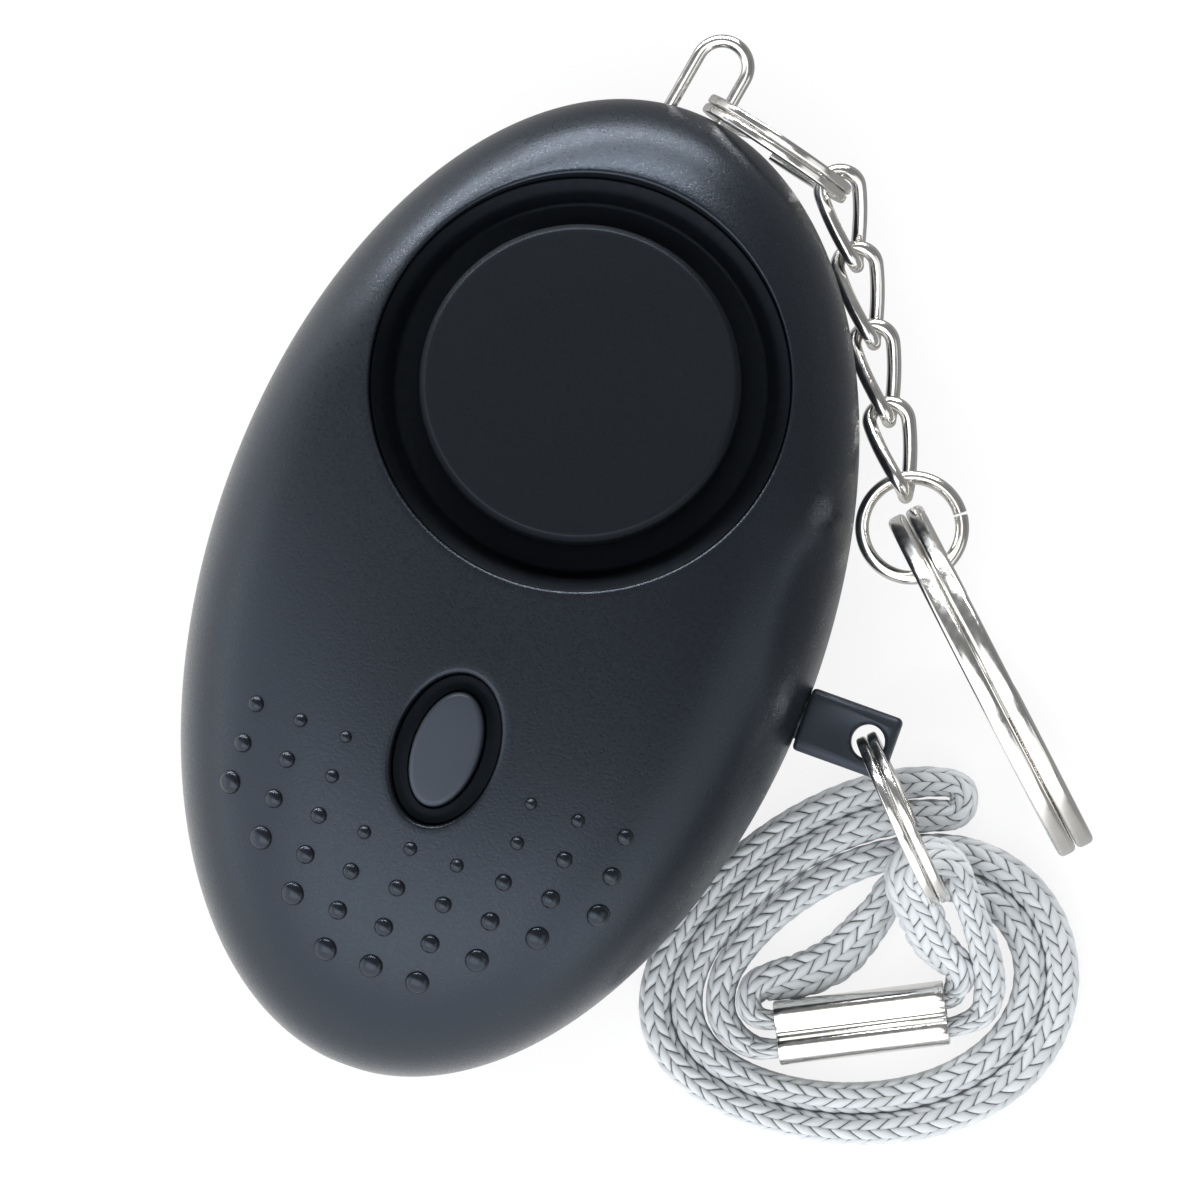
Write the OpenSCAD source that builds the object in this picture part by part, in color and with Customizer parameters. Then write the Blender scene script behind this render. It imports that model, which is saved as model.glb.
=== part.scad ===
// Personal safety alarm: an egg-shaped siren and torch with a pull pin on a wrist
// strap, and a short chain with a key ring. Sizes are in millimetres.
// The alarm lies on its flat back with its front face up. The origin is the middle
// of the flat back, X points to the pin side, Y along the body to the bail, Z up.

/* [Body] */
// Length of the body
body_l = 62; // [58:0.5:68]
// Width of the body
body_w = 38; // [36:0.5:42]
// Height of the front shell above the parting plane
front_h = 11.5; // [11:0.25:13]
// Depth of the rear shell below the parting plane
rear_h = 10; // [9.75:0.25:10.5]
// Depth cut off the rear dome for the flat back
back_cut = 0.6; // [0.4:0.1:1]
// Wall of both shells
wall = 1.8; // [1.6:0.1:2]
// Roundness of the front dome, higher is flatter
front_round = 2.8; // [2.5:0.1:3.1]
// Roundness of the rear dome, higher is flatter
rear_round = 2.2; // [2:0.1:2.4]
// Height of the lip that lines up the two shells
lip_h = 1; // [0.6:0.1:1.2]

/* [Speaker] */
// Distance of the speaker from the middle of the body
speaker_y = 12.9; // [12:0.1:13.5]
// Tilt of the speaker towards the bail
speaker_tilt = 6.5; // [4:0.5:8]
// Depth of the cap's face below the dome
speaker_sink = 1.6; // [1.2:0.1:2.2]
// Diameter of the speaker cap
cap_d = 19.4; // [17:0.1:20.4]
// Thickness of the speaker cap
cap_t = 1.6; // [1.2:0.1:2]
// Diameter of the speaker ring
ring_d = 25.3; // [24:0.1:26]
// Number of sound slots in the speaker ring
slot_count = 12; // [8:1:16]
// Depth of the sounder cup below the speaker ring
cup_depth = 3.6; // [3:0.1:4]
// Diameter of the sounder plate
plate_d = 21; // [19:0.5:22]

/* [Torch button] */
// Distance of the button from the middle of the body
button_y = -10.5; // [-12:0.1:-9.5]
// Length of the button
button_l = 7.1; // [6:0.1:8]
// Width of the button
button_w = 4; // [3.4:0.1:4.8]
// Gap between the button and the edge of its recess
recess_gap = 1.15; // [0.8:0.05:1.4]
// Depth of the seal's face in the recess
recess_depth = 1.2; // [0.8:0.1:1.6]
// Travel of the button
button_travel = 0.5; // [0.3:0.1:0.6]

/* [Grip dots] */
// Spacing of the dots across the body
dot_pitch_x = 2.95; // [2.8:0.05:3.3]
// Spacing of the dots along the body
dot_pitch_y = 2.49; // [2.2:0.05:2.7]
// Place of the lowest row of dots
dot_y = -24.3; // [-25.5:0.1:-23]
// Height of the dots
dot_h = 0.35; // [0.2:0.05:0.5]

/* [Cells and board] */
// Diameter of a coin cell
cell_d = 20; // [18:0.5:20.5]
// Height of a coin cell
cell_h = 3.2; // [2.8:0.1:3.4]
// Place of the cells along the body
cell_y = -6.5; // [-7.5:0.1:-5.5]
// Height of the dished spring under the cells
spring_h = 0.8; // [0.6:0.1:1]
// Thickness of the contact over the cells
contact_t = 0.4; // [0.3:0.1:0.5]
// Thickness of the circuit board
board_t = 1.2; // [0.8:0.1:1.6]
// Height of the switch body
switch_h = 3.5; // [3:0.1:4.3]

/* [Pull pin] */
// Place of the pin along the body
pin_y = -1.6; // [-2.4:0.1:-1]
// Diameter of the pin's shank
shank_d = 2.7; // [2.2:0.1:3]
// Length of the shank inside the body
shank_l = 6; // [5.6:0.1:6.2]
// Length of the pin's head
head_l = 5.8; // [5.2:0.1:6.4]
// Width of the pin's head
head_w = 4; // [3.6:0.1:4.6]
// Thickness of the pin's head
head_t = 3.2; // [2.8:0.1:3.6]
// Diameter of the hole for the split ring
eye_d = 2.1; // [2:0.05:2.3]
// Distance of that hole from the inner end of the head
eye_x = 4.2; // [3.8:0.1:4.4]

/* [Rings and chain] */
// Wire of the bail
bail_wire = 0.8; // [0.6:0.05:0.9]
// Spacing of the bail's legs
bail_w = 3.2; // [2.8:0.1:3.6]
// Height of the bail above the body
bail_h = 5.3; // [4.5:0.1:6]
// Lean of the bail to the pin side
bail_lean = 10; // [0:1:14]
// Outer diameter of the top ring
top_ring_d = 10.4; // [10:0.1:11]
// Outer diameter of the pin ring
pin_ring_d = 11.3; // [10.8:0.1:11.8]
// Outer diameter of the key ring
key_ring_d = 23; // [22:0.25:24]
// Outer length of a chain link
link_l = 6.9; // [6.8:0.05:7]
// Outer width of a chain link
link_w = 3.4; // [3.3:0.1:3.6]
// Wire of the chain links
link_wire = 0.9; // [0.8:0.05:0.95]
// Outer diameter of the jump ring
jump_d = 7; // [6.9:0.05:7.2]
// Wire of the jump ring
jump_wire = 0.85; // [0.75:0.05:0.95]

/* [Wrist strap] */
// Width of the strap, which stands on edge
strap_w = 3.2; // [2.8:0.1:3.3]
// Thickness of the strap
strap_t = 1.3; // [1.1:0.05:1.35]
// Length of the crimp sleeve
crimp_l = 10.6; // [10:0.1:10.8]
// Wall of the crimp sleeve
crimp_wall = 0.4; // [0.3:0.05:0.5]

/* [Hidden] */
$fn = 40;

// Facets of the domes round the body and from rim to crown
facets = 48;
dome_rings = 9;
// How much wider the bail end of the outline is than the torch end
egg_taper = 0.012;
// Clearances: pieces that are pressed or glued in, sliding pieces, and cuts past a face
fit_clear = 0.05;
slide_clear = 0.1;
past = 0.5;

// The parting plane and the levels inside the body
part_z = rear_h;
rear_dome_h = rear_h + back_cut;
cells_z = wall + spring_h;
contact_z = cells_z + 2*cell_h;
board_z = contact_z + contact_t;
board_top = board_z + board_t;
switch_top = board_top + switch_h;
plunger_h = 1;

// Domes of the body

// One ring of points on an egg that is set in from the body's outline
function egg_ring(inset, share, z) =
  [for (k = [0 : facets - 1])
    let (t = 360*k/facets)
      [share*(body_w/2 - inset)*cos(t)*(1 + egg_taper*sin(t)), share*(body_l/2 - inset)*sin(t), z]];

// Rings of a dome from its rim to just under its crown, then the crown's point
function dome_points(inset, h, roundness) =
  concat([for (i = [0 : dome_rings - 1])
           let (a = 90*i/dome_rings)
             each egg_ring(inset, pow(cos(a), 2/roundness), h*pow(sin(a), 2/roundness))],
         [[0, 0, h]]);

function quad(a, b, c, d, inward) = inward ? [[a, d, c], [a, b, d]] : [[a, c, d], [a, d, b]];

function dome_faces(first, inward) =
  concat([for (i = [0 : dome_rings - 2], k = [0 : facets - 1])
           let (a = first + i*facets + k, b = first + i*facets + (k + 1)%facets)
             each quad(a, b, a + facets, b + facets, inward)],
         [for (k = [0 : facets - 1])
           let (o = first + (dome_rings - 1)*facets, crown = first + dome_rings*facets)
             inward ? [o + k, o + (k + 1)%facets, crown] : [o + k, crown, o + (k + 1)%facets]]);

module dome_solid(inset, h, roundness)
  polyhedron(points = dome_points(inset, h - inset, roundness),
             faces = concat(dome_faces(0, false), [[for (k = [0 : facets - 1]) k]]));

module dome_shell(h, roundness) {
  inner = dome_rings*facets + 1;
  rim = [for (k = [0 : facets - 1])
          let (n = (k + 1)%facets)
            each [[k, n, inner + n], [k, inner + n, inner + k]]];
  polyhedron(points = concat(dome_points(0, h, roundness), dome_points(wall, h - wall, roundness)),
             faces = concat(dome_faces(0, false), dome_faces(inner, true), rim));
}

module front_half() translate([0, 0, part_z]) children();

module rear_half() translate([0, 0, part_z]) mirror([0, 0, 1]) children();

// Height of the front face over a point of the outline
function front_z(x, y) =
  let (share = norm([x/(body_w/2*(1 + egg_taper*y/(body_l/2))), y/(body_l/2)]))
    part_z + front_h*pow(1 - pow(share, front_round), 1/front_round);

// Place of the body's edge on the parting plane
function edge_x(y) = body_w/2*sqrt(1 - pow(y/(body_l/2), 2))*(1 + egg_taper*y/(body_l/2));

module egg_plate(inset, h) linear_extrude(h) polygon([for (p = egg_ring(inset, 1, 0)) [p.x, p.y]]);

module oval(l, w, h) {
  oval_points = 40;
  linear_extrude(h)
    polygon([for (k = [0 : oval_points - 1]) [w/2*cos(360*k/oval_points), l/2*sin(360*k/oval_points)]]);
}

module block(size) translate([-size.x/2, -size.y/2, 0]) cube(size);

// Wall of the cell tray
tray_wall = 1;

// Screws and bosses
screw_x = 8.5;
screw_y = -17;
screw_places = [[-screw_x, screw_y], [screw_x, screw_y]];
boss_d = 5.2;
boss_shoulder_d = 7;
screw_d = 2;
screw_head_d = 3.8;
screw_head_h = 1.5;
screw_seat_z = 4.2;
screw_reach = 5;
post_x = 11.5;
post_y = 8;
post_places = [[-post_x, post_y], [post_x, post_y]];
post_d = 4;
board_screw_d = 1.8;
board_screw_head_d = 3.2;
board_screw_head_h = 1;
board_screw_l = 4;

module at_places(places, z) for (p = places) translate([p.x, p.y, z]) children();

// Speaker, drawn about the middle of the cap's face
speaker_z = front_z(0, speaker_y) - speaker_sink;
ring_wall = 0.7;
ring_floor = 1;
// Height of the seat under the cap, above the floor of the ring
cap_seat_h = 0.6;
cap_seat_d = 12;
cap_bevel = 0.4;
ring_floor_z = -cap_t - cap_seat_h;
ring_under_z = ring_floor_z - ring_floor;
ring_top_z = -0.8;
cup_wall = 1;
cup_d = plate_d + 2*fit_clear + 2*cup_wall;
plate_t = 0.3;
ceramic_t = 0.25;
// Depth of the plate's ledge below the underside of the ring
ledge_depth = 1.4;
ledge_w = 1;
ledge_z = ring_under_z - ledge_depth;
cup_under_z = ring_under_z - cup_depth;
slot_arc = 216/slot_count;
// Web between the cap's seat and the slots, and how far the cap reaches past them
slot_web = 0.6;
slot_lap = 0.4;

module at_speaker() translate([0, speaker_y, speaker_z]) rotate([-speaker_tilt, 0, 0]) children();

// Torch button and switch
button_top = front_z(0, button_y) - fit_clear;
seal_top = button_top - recess_depth;
seal_t = 1.5;
flange_top = seal_top - seal_t - slide_clear;
flange_t = 1;
flange_lap = 0.8;
stem_d = 3.2;
plunger_d = 3.4;
switch_w = 6;
button_edge = 0.3;

// Torch at the narrow end
led_d = 3;
led_flange_d = 3.8;
led_flange_t = 1;
led_l = 4.8;
led_pitch = 2.54;
led_lead = 0.5;
led_lead_l = 3;
lens_d = 4.4;
lens_flange_d = 5.4;
lens_flange_t = 0.6;
lens_recess = 0.5;
lens_back = 3.2;
// Room between the lamp's tip and the lens
led_room = 0.35;
board_end_y = -body_l/2 + lens_back + lens_flange_t + led_room + led_l + fit_clear;
board_top_y = 21.5;
board_inset = 3.2;

// Sheet of the spring under the cells, its foot and its top
sheet_t = 0.3;
spring_foot = 7.4;
spring_top = 3;

// Pull pin
pin_head_x = edge_x(pin_y) + slide_clear;
pin_tip_x = pin_head_x - shank_l;
tip_taper = 2;
tip_d = 1;
eye_place = [pin_head_x + eye_x, pin_y, part_z];
guide_l = 2;
guide_w = 5;
// Room for the guide beside the board and behind the shell's wall, and for the pin's tip in the board
guide_room = 0.3;
guide_back = 0.95;
notch_room = 1;
guide_x = pin_head_x - wall - guide_back - guide_l;
// Contact blades on both sides of the pin's tip, standing on the board
blade_t = 0.3;
blade_h = 1.6;
blade_gap = shank_d/2;
blade_lap = 0.9;
blade_l = 7.2;
blade_tip_x = pin_tip_x + blade_lap;
blade_root_x = blade_tip_x - blade_l;
blade_root_d = 1.4;
moving_y = pin_y + blade_gap + blade_t/2;
fixed_y = pin_y - blade_gap - blade_t/2;

// Bail, drawn about the end of the body before it leans
bail_root_y = body_l/2 - wall - 1.7;
bail_top_y = body_l/2 + bail_h;
bail_foot = 1;

module at_bail() {
  pivot_y = body_l/2 - wall;
  translate([0, pivot_y, part_z]) rotate([0, 0, -bail_lean]) translate([0, -pivot_y, 0]) children();
}

// Vectors
function unit(v) = v/norm(v);
function flat_dir(a) = [cos(a), sin(a), 0];

// Sweep of a closed section along a path. An up vector at each point sets the section's turn.
function path_dir(path, i, closed) =
  let (n = len(path))
    closed ? unit(path[(i + 1)%n] - path[(i + n - 1)%n])
           : unit(path[min(i + 1, n - 1)] - path[max(i - 1, 0)]);

function swept_ring(p, dir, up, section) =
  let (side = unit(cross(up, dir)), rise = cross(dir, side))
    [for (s = section) p + s.x*side + s.y*rise];

module sweep(path, ups, section, closed = false) {
  n = len(path);
  m = len(section);
  spans = closed ? n : n - 1;
  sides = [for (i = [0 : spans - 1], k = [0 : m - 1])
            let (a = i*m + k, b = i*m + (k + 1)%m, o = ((i + 1)%n)*m)
              each quad(a, b, o + k, o + (k + 1)%m, false)];
  ends = closed ? [] : [[for (k = [0 : m - 1]) k], [for (k = [0 : m - 1]) n*m - 1 - k]];
  points = [for (i = [0 : n - 1]) each swept_ring(path[i], path_dir(path, i, closed), ups[i], section)];
  polyhedron(points = points, faces = concat(sides, ends));
}

function round_section(d, sides) = [for (k = [0 : sides - 1]) d/2*[cos(360*k/sides), sin(360*k/sides)]];

function band_section(w, t, edge) =
  [[w/2, -t/2 + edge], [w/2, t/2 - edge], [w/2 - edge, t/2], [-w/2 + edge, t/2],
   [-w/2, t/2 - edge], [-w/2, -t/2 + edge], [-w/2 + edge, -t/2], [w/2 - edge, -t/2]];

// Split rings: two turns of flat wire that step from one layer to the other
coil_gap = 0.42;
ring_step = 10;
ring_end = 24;
ring_shift = 18;
function ease(f) = f < 0 ? 0 : f > 1 ? 1 : f*f*(3 - 2*f);

// Layer of the wire after a turn of a degrees, from half a pitch above to half a pitch below
function ring_layer(a, pitch) = pitch*(0.5 - ease((a - 360 + ring_shift)/(2*ring_shift)));

function ring_path(centre, dir, axis, radius, pitch, start) =
  [for (a = [ring_end : ring_step : 720 - ring_end])
    centre + radius*(cos(a + start)*dir + sin(a + start)*cross(axis, dir)) + ring_layer(a, pitch)*axis];

module split_ring(centre, dir, axis, d, band, t, start) {
  path = ring_path(centre, dir, axis, d/2 - band/2, t + coil_gap, start);
  sweep(path, [for (p = path) axis], band_section(band, t, t/5));
}

// Top ring, upright and hooked on the bail's leg
top_ring_dir = flat_dir(-14);
top_ring_axis = flat_dir(76);
top_ring_band = 0.8;
top_ring_t = 0.4;
top_ring_z = part_z - 1;
// Place on the bail's right leg, this far out of the body, where the ring hangs
leg_out = 0.9;
bail_leg_x = bail_w/2*cos(bail_lean) + (wall + leg_out)*sin(bail_lean);
bail_leg_y = body_l/2 + leg_out - bail_w/2*sin(bail_lean);
top_ring_inside = top_ring_d/2 - top_ring_band;
top_ring_reach = sqrt(pow(top_ring_inside, 2) - pow(part_z - top_ring_z, 2)) - bail_wire/2 - slide_clear;
top_ring_centre = [bail_leg_x, bail_leg_y, top_ring_z] + top_ring_reach*top_ring_dir;

// Chain of twisted links. Each link runs from one joint to the next.
link_from = 0;
link_to = -90;
link_clear = 0.2;
link_pitch = link_l - 2*link_wire - link_clear;
link_turns = [-58, -58, -59, -58];
link_rises = [-14, -4, 4, 12];
chain_start_z = part_z - 2.4;
chain_reach = sqrt(pow(top_ring_d/2 - top_ring_band/2, 2) - pow(top_ring_z - chain_start_z, 2));
ring_room = 0.75;
chain_start = [top_ring_centre.x, top_ring_centre.y, chain_start_z] + chain_reach*top_ring_dir
              - ring_room*flat_dir(link_turns[0]);
function link_dir(i) = cos(link_rises[i])*flat_dir(link_turns[i]) + [0, 0, sin(link_rises[i])];
function chain_joint(i) = i == 0 ? chain_start : chain_joint(i - 1) + link_pitch*link_dir(i - 1);

// Twist of a link at a share of its length from its middle
function link_angle(f) = link_from*(0.5 - f) + link_to*(0.5 + f);

// Half of a link's outline, on the end where it runs forward, then the straight side back
function half_link(l, w) =
  concat([for (a = [-90 : 22.5 : 90]) [l/2 - w/2 + w/2*cos(a), w/2*sin(a)]],
         [for (f = [1/3, -1/3]) [f*(l/2 - w/2)*2, w/2]]);
function link_outline(l, w) = let (h = half_link(l, w)) concat(h, -h);

module chain_link(i) {
  l = link_l - link_wire;
  w = link_w - link_wire;
  ahead = link_dir(i);
  across = flat_dir(link_turns[i] + 90);
  over = cross(ahead, across);
  middle = (chain_joint(i) + chain_joint(i + 1))/2;
  outline = link_outline(l, w);
  path = [for (p = outline)
           let (a = link_angle(p.x/l))
             middle + p.x*ahead + p.y*(cos(a)*across + sin(a)*over)];
  ups = [for (p = outline)
          let (a = link_angle(p.x/l))
            cos(a)*over - sin(a)*across];
  sweep(path, ups, round_section(link_wire, 8), true);
}

// Jump ring, lying level at the end of the chain
jump_dir = flat_dir(-58);
jump_room = 0.55;
jump_centre = chain_joint(4) + (jump_d/2 - jump_wire/2 - jump_room)*jump_dir;
jump_gap = 8;
jump_gap_at = 35;

// Key ring, upright on its edge and hooked in the jump ring
key_turn = -43;
key_dir = flat_dir(key_turn);
key_axis = flat_dir(key_turn + 90);
key_band = 1.7;
key_t = 0.95;
key_z = key_ring_d/2 + 0.7;
key_hook = 1.1;
key_reach = sqrt(pow(key_ring_d/2 - key_band/2, 2) - pow(key_z - jump_centre.z, 2));
key_centre = [jump_centre.x, jump_centre.y, key_z] + (key_hook + key_reach)*key_dir;

// Pin ring, upright in the pin's eye
pin_ring_turn = -46;
pin_ring_dir = flat_dir(pin_ring_turn);
pin_ring_axis = flat_dir(pin_ring_turn + 90);
pin_ring_band = 0.9;
pin_ring_t = 0.45;
pin_ring_centre = eye_place + (pin_ring_d/2 - pin_ring_band/2)*pin_ring_dir;

// Crimp sleeve with two lanes for the strap
crimp_turn = 27;
crimp_at = [eye_place.x + 5.3, eye_place.y - 16.6];
crimp_z = strap_w/2 + crimp_wall + fit_clear;
crimp_stub = 0.5;
lane = (strap_t + crimp_wall)/2 + fit_clear;
function in_crimp(along, lanes) =
  [crimp_at.x, crimp_at.y, crimp_z] + along*flat_dir(crimp_turn) + lanes*lane*flat_dir(crimp_turn + 90);

// Wrist strap: one flat cord. It starts in the crimp's upper lane, runs through the pin ring and back
// through the crimp's lower lane, winds out, folds and winds in again to the crimp.
strap_rest_z = strap_w/2 + 0.05;
coil_at = [eye_place.x + 5.1, eye_place.y - 13.9];
coil_turn = 33;
coil_long = 9.4;
coil_short = 5.9;
coil_egg = 0.17;
coil_grow = 4.1;
coil_zero = 200;
strand_pitch = 2;
outer_from = 155;
inner_from = 76;
coil_end = -300;
coil_step = 15;

// A point of the coil after turning clockwise to angle a, with the inner strand set in
function coil_point(a, inset) =
  let (grow = coil_grow*(coil_zero - a)/360 - inset,
       x = (coil_long + grow)*cos(a),
       y = (coil_short + grow)*sin(a)*(1 + coil_egg*cos(a)))
    [coil_at.x, coil_at.y, strap_rest_z] + x*flat_dir(coil_turn) + y*flat_dir(coil_turn + 90);

// Points of the strap's stretches that aren't coiled, from the pin's eye across and along the body and
// from the floor up. The points of the strap's own eye also give how far its width leans.
eye_points = [[10, -12.5, 2.2, 4], [10, -11.8, 2.7, 10], [9.3, -11.1, 3.4, 20], [7.9, -10.4, 4.5, 30],
              [6.3, -8.7, 6.2, 35], [5.2, -7.6, 7.2, 35], [4.9, -6.6, 7.9, 35], [5.4, -5.6, 8.1, 35],
              [6.5, -5.1, 7.9, 35], [7.5, -5.4, 7.2, 35], [8.5, -6.6, 6.2, 35], [10, -8.4, 5.1, 30],
              [11.3, -10.3, 4, 18], [12, -11.8, 2.9, 8], [12.1, -13.5, 2.2, 2]];
outer_lead = [[-0.4, -20.3, 1.7], [-1.7, -20.1, 1.7], [-2.8, -19.4, 1.7], [-3.4, -18.4, 1.7]];
inner_lead = [[4.1, -9, 1.7], [3.4, -11.3, 1.7], [2.5, -13.3, 1.7], [0.9, -15, 1.8], [-0.7, -16, 1.8],
              [-1.5, -16.6, 1.9], [-1.8, -17.3, 1.9], [-1.7, -17.9, 2], [-1.2, -18.4, 2]];
function from_eye(p) = [eye_place.x + p.x, eye_place.y + p.y, p.z];

function fold_points() =
  let (a = coil_point(coil_end, 0), b = coil_point(coil_end, strand_pitch), m = (a + b)/2, r = (a - b)/2,
       out = unit(cross(r, [0, 0, 1]))*norm(r))
    [for (t = [30 : 30 : 150]) m + cos(t)*r + sin(t)*out];

strap_route =
  concat([in_crimp(0.3, 1), in_crimp(crimp_l/2 - 1, 1), in_crimp(crimp_l/2 + crimp_stub, 1)],
         [for (p = eye_points) from_eye(p)],
         [in_crimp(crimp_l/2 + crimp_stub, -1), in_crimp(crimp_l/2 - 1, -1), in_crimp(-crimp_l/2 + 1, -1),
          in_crimp(-crimp_l/2 - crimp_stub, -1)],
         [for (p = outer_lead) from_eye(p)],
         [for (a = [outer_from : -coil_step : coil_end]) coil_point(a, 0)],
         fold_points(),
         [for (a = [coil_end : coil_step : inner_from]) coil_point(a, strand_pitch)],
         [for (p = inner_lead) from_eye(p)],
         [in_crimp(-crimp_l/2 - crimp_stub, 1), in_crimp(-crimp_l/2 + 1, 1), in_crimp(-0.3, 1)]);

function lean_up(a) = cos(a)*[0, 0, 1] + sin(a)*pin_ring_dir;
strap_ups = [for (i = [0 : len(strap_route) - 1])
              i >= 3 && i < 3 + len(eye_points) ? lean_up(eye_points[i - 3][3]) : [0, 0, 1]];

// Least gap between the strap and other turns of itself, outside the crimp
apart = 6;
route_end = len(strap_route) - 4;
strap_gap = min([for (i = [2 : route_end - apart], j = [i + apart : route_end])
                  let (p = strap_route[i], a = strap_route[j], b = strap_route[j + 1],
                       f = max(0, min(1, (p - a)*(b - a)/((b - a)*(b - a)))), d = p - a - f*(b - a))
                    abs(d.z) > strap_w ? strap_w : norm([d.x, d.y])]) - strap_t;

// Sounder wires, as points chosen by hand: from the middle of the cap's face, then above the board
wire_d = 0.7;
wire_x = 1.6;
wire_route = [[-8, -4.44], [-9.9, -4.14], [-11.7, -3.79], [-14.3, -4.54]];
wire_ends = [[-15.3, 2.8], [-15.4, 0.8], [-15.4, 0]];
function wire_points(x) = concat([for (p = wire_route) [x, speaker_y + p.x, speaker_z + p.y]],
                                 [for (p = wire_ends) [x, speaker_y + p.x, board_top + p.y]]);

// Casing

dot_sizes = [1.46, 1.16, 1.03, 0.85, 0.75];
// First row and number of dots in the columns from the middle outwards
dot_columns = [[0, 4], [0, 4], [1, 5], [2, 4], [3, 3]];

module grip_dot(x, y, d) {
  r = (d*d/4 + dot_h*dot_h)/(2*dot_h);
  translate([x, y, front_z(x, y) - r + dot_h]) sphere(r = r, $fn = 24);
}

module grip_dots()
  for (c = [-4 : 4], i = [0 : dot_columns[abs(c)][1] - 1])
    grip_dot(c*dot_pitch_x, dot_y + (dot_columns[abs(c)][0] + i)*dot_pitch_y, dot_sizes[i]);

module seam_holes() {
  // Hole for the pin
  translate([pin_head_x - wall - 3, pin_y, part_z])
    rotate([0, 90, 0]) cylinder(d = shank_d + 2*slide_clear, h = wall + 6);
  // Holes for the bail's legs
  at_bail()
    for (x = [-1, 1] * bail_w/2)
      translate([x, bail_root_y, 0])
        rotate([-90, 0, 0]) cylinder(d = bail_wire + 2*fit_clear, h = wall + 4, $fn = 24);
  // Hole for the torch lens
  translate([0, -body_l/2 - past, part_z])
    rotate([-90, 0, 0]) cylinder(d = lens_d + 2*fit_clear, h = lens_back + past);
}

module front_shell() color("#30343b") difference() {
  union() {
    front_half() dome_shell(front_h, front_round);
    intersection() {
      front_half() dome_solid(wall/2, front_h, front_round);
      at_places(screw_places, part_z) cylinder(d = boss_d, h = front_h);
    }
    grip_dots();
  }
  translate([0, 0, part_z - past]) egg_plate(wall/2, lip_h + slide_clear + past);
  at_speaker() translate([0, 0, cup_under_z]) cylinder(d = ring_d + 2*fit_clear, h = 3*front_h, $fn = 72);
  translate([0, button_y, seal_top - seal_t - 1])
    oval(button_l + 2*recess_gap, button_w + 2*recess_gap, front_h);
  at_places(screw_places, part_z - past) cylinder(d = screw_d + 2*fit_clear, h = screw_reach + 2*past);
  seam_holes();
}

module rear_shell() color("#2c3037") difference() {
  union() {
    rear_half() dome_shell(rear_dome_h, rear_round);
    // Lip that fits inside the front shell
    difference() {
      translate([0, 0, part_z - lip_h]) egg_plate(wall/2 + fit_clear, 2*lip_h);
      translate([0, 0, part_z - lip_h - past]) egg_plate(wall - fit_clear, 2*lip_h + 2*past);
    }
    intersection() {
      rear_half() dome_solid(wall/2, rear_dome_h, rear_round);
      union() {
        translate([0, cell_y, 0])
          cylinder(d = cell_d + 2*slide_clear + 2*tray_wall, h = cells_z + 1.5*cell_h, $fn = 72);
        at_places(screw_places, 0) cylinder(d = boss_d, h = part_z);
        at_places(screw_places, 0) cylinder(d = boss_shoulder_d, h = board_z);
        at_places(post_places, 0) cylinder(d = post_d, h = board_z);
        translate([guide_x + guide_l/2, pin_y, 0]) block([guide_l, guide_w, part_z - guide_w/2]);
      }
    }
  }
  // Flat back
  translate([0, 0, -body_l]) block([2*body_l, 2*body_l, body_l]);
  translate([0, cell_y, wall]) cylinder(d = cell_d + 2*slide_clear, h = part_z, $fn = 72);
  at_places(screw_places, -past) cylinder(d = screw_head_d + 2*slide_clear, h = screw_seat_z + past);
  at_places(screw_places, 0) cylinder(d = screw_d + 2*fit_clear, h = part_z + past);
  at_places(post_places, board_z - board_screw_l)
    cylinder(d = board_screw_d + 2*fit_clear, h = board_screw_l + past);
  seam_holes();
}

module shell_screws() color("#8d9096") at_places(screw_places, screw_seat_z) {
  cylinder(d = screw_d, h = part_z - screw_seat_z + screw_reach);
  difference() {
    translate([0, 0, -screw_head_h]) cylinder(d = screw_head_d, h = screw_head_h);
    for (a = [0, 90])
      rotate([0, 0, a]) translate([0, 0, -screw_head_h - past]) block([screw_head_d*0.6, 0.5, past + 0.7]);
  }
}

// Sounder

module speaker_ring() color("#0c0d10") at_speaker() difference() {
  translate([0, 0, ring_under_z]) cylinder(d = ring_d, h = ring_top_z - ring_under_z, $fn = 72);
  // Channel round the cap's seat, and the room above both
  difference() {
    translate([0, 0, ring_floor_z]) cylinder(d = ring_d - 2*ring_wall, h = cap_t, $fn = 72);
    translate([0, 0, ring_floor_z - past]) cylinder(d = cap_seat_d, h = cap_seat_h + past);
  }
  translate([0, 0, -cap_t]) cylinder(d = ring_d - 2*ring_wall, h = cap_t, $fn = 72);
  // Sound slots round the floor, under the cap
  for (k = [0 : slot_count - 1])
    rotate([0, 0, 360*k/slot_count])
      rotate_extrude(angle = slot_arc)
        translate([cap_seat_d/2 + slot_web, ring_under_z - past])
          square([(cap_d - cap_seat_d)/2 - slot_web - slot_lap, ring_floor + 2*past]);
}

module speaker_cap() color("#24272c") at_speaker()
  rotate_extrude($fn = 72)
    polygon([[0, -cap_t], [cap_d/2, -cap_t], [cap_d/2, -cap_bevel], [cap_d/2 - cap_bevel, 0], [0, 0]]);

module sounder_cup() color("#3a3d42") at_speaker() difference() {
  translate([0, 0, cup_under_z]) cylinder(d = cup_d, h = cup_depth, $fn = 72);
  translate([0, 0, ledge_z]) cylinder(d = plate_d + 2*fit_clear, h = cup_depth, $fn = 72);
  translate([0, 0, cup_under_z + cup_wall]) cylinder(d = plate_d - 2*ledge_w, h = cup_depth, $fn = 72);
  // Way out for the wires
  translate([0, -cup_d/2, cup_under_z + cup_wall]) block([2*wire_x + 2.4, 4*cup_wall + 2, 1.6]);
}

module sounder_plate() color("#c9a24a") at_speaker()
  translate([0, 0, ledge_z]) cylinder(d = plate_d, h = plate_t, $fn = 72);

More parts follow.
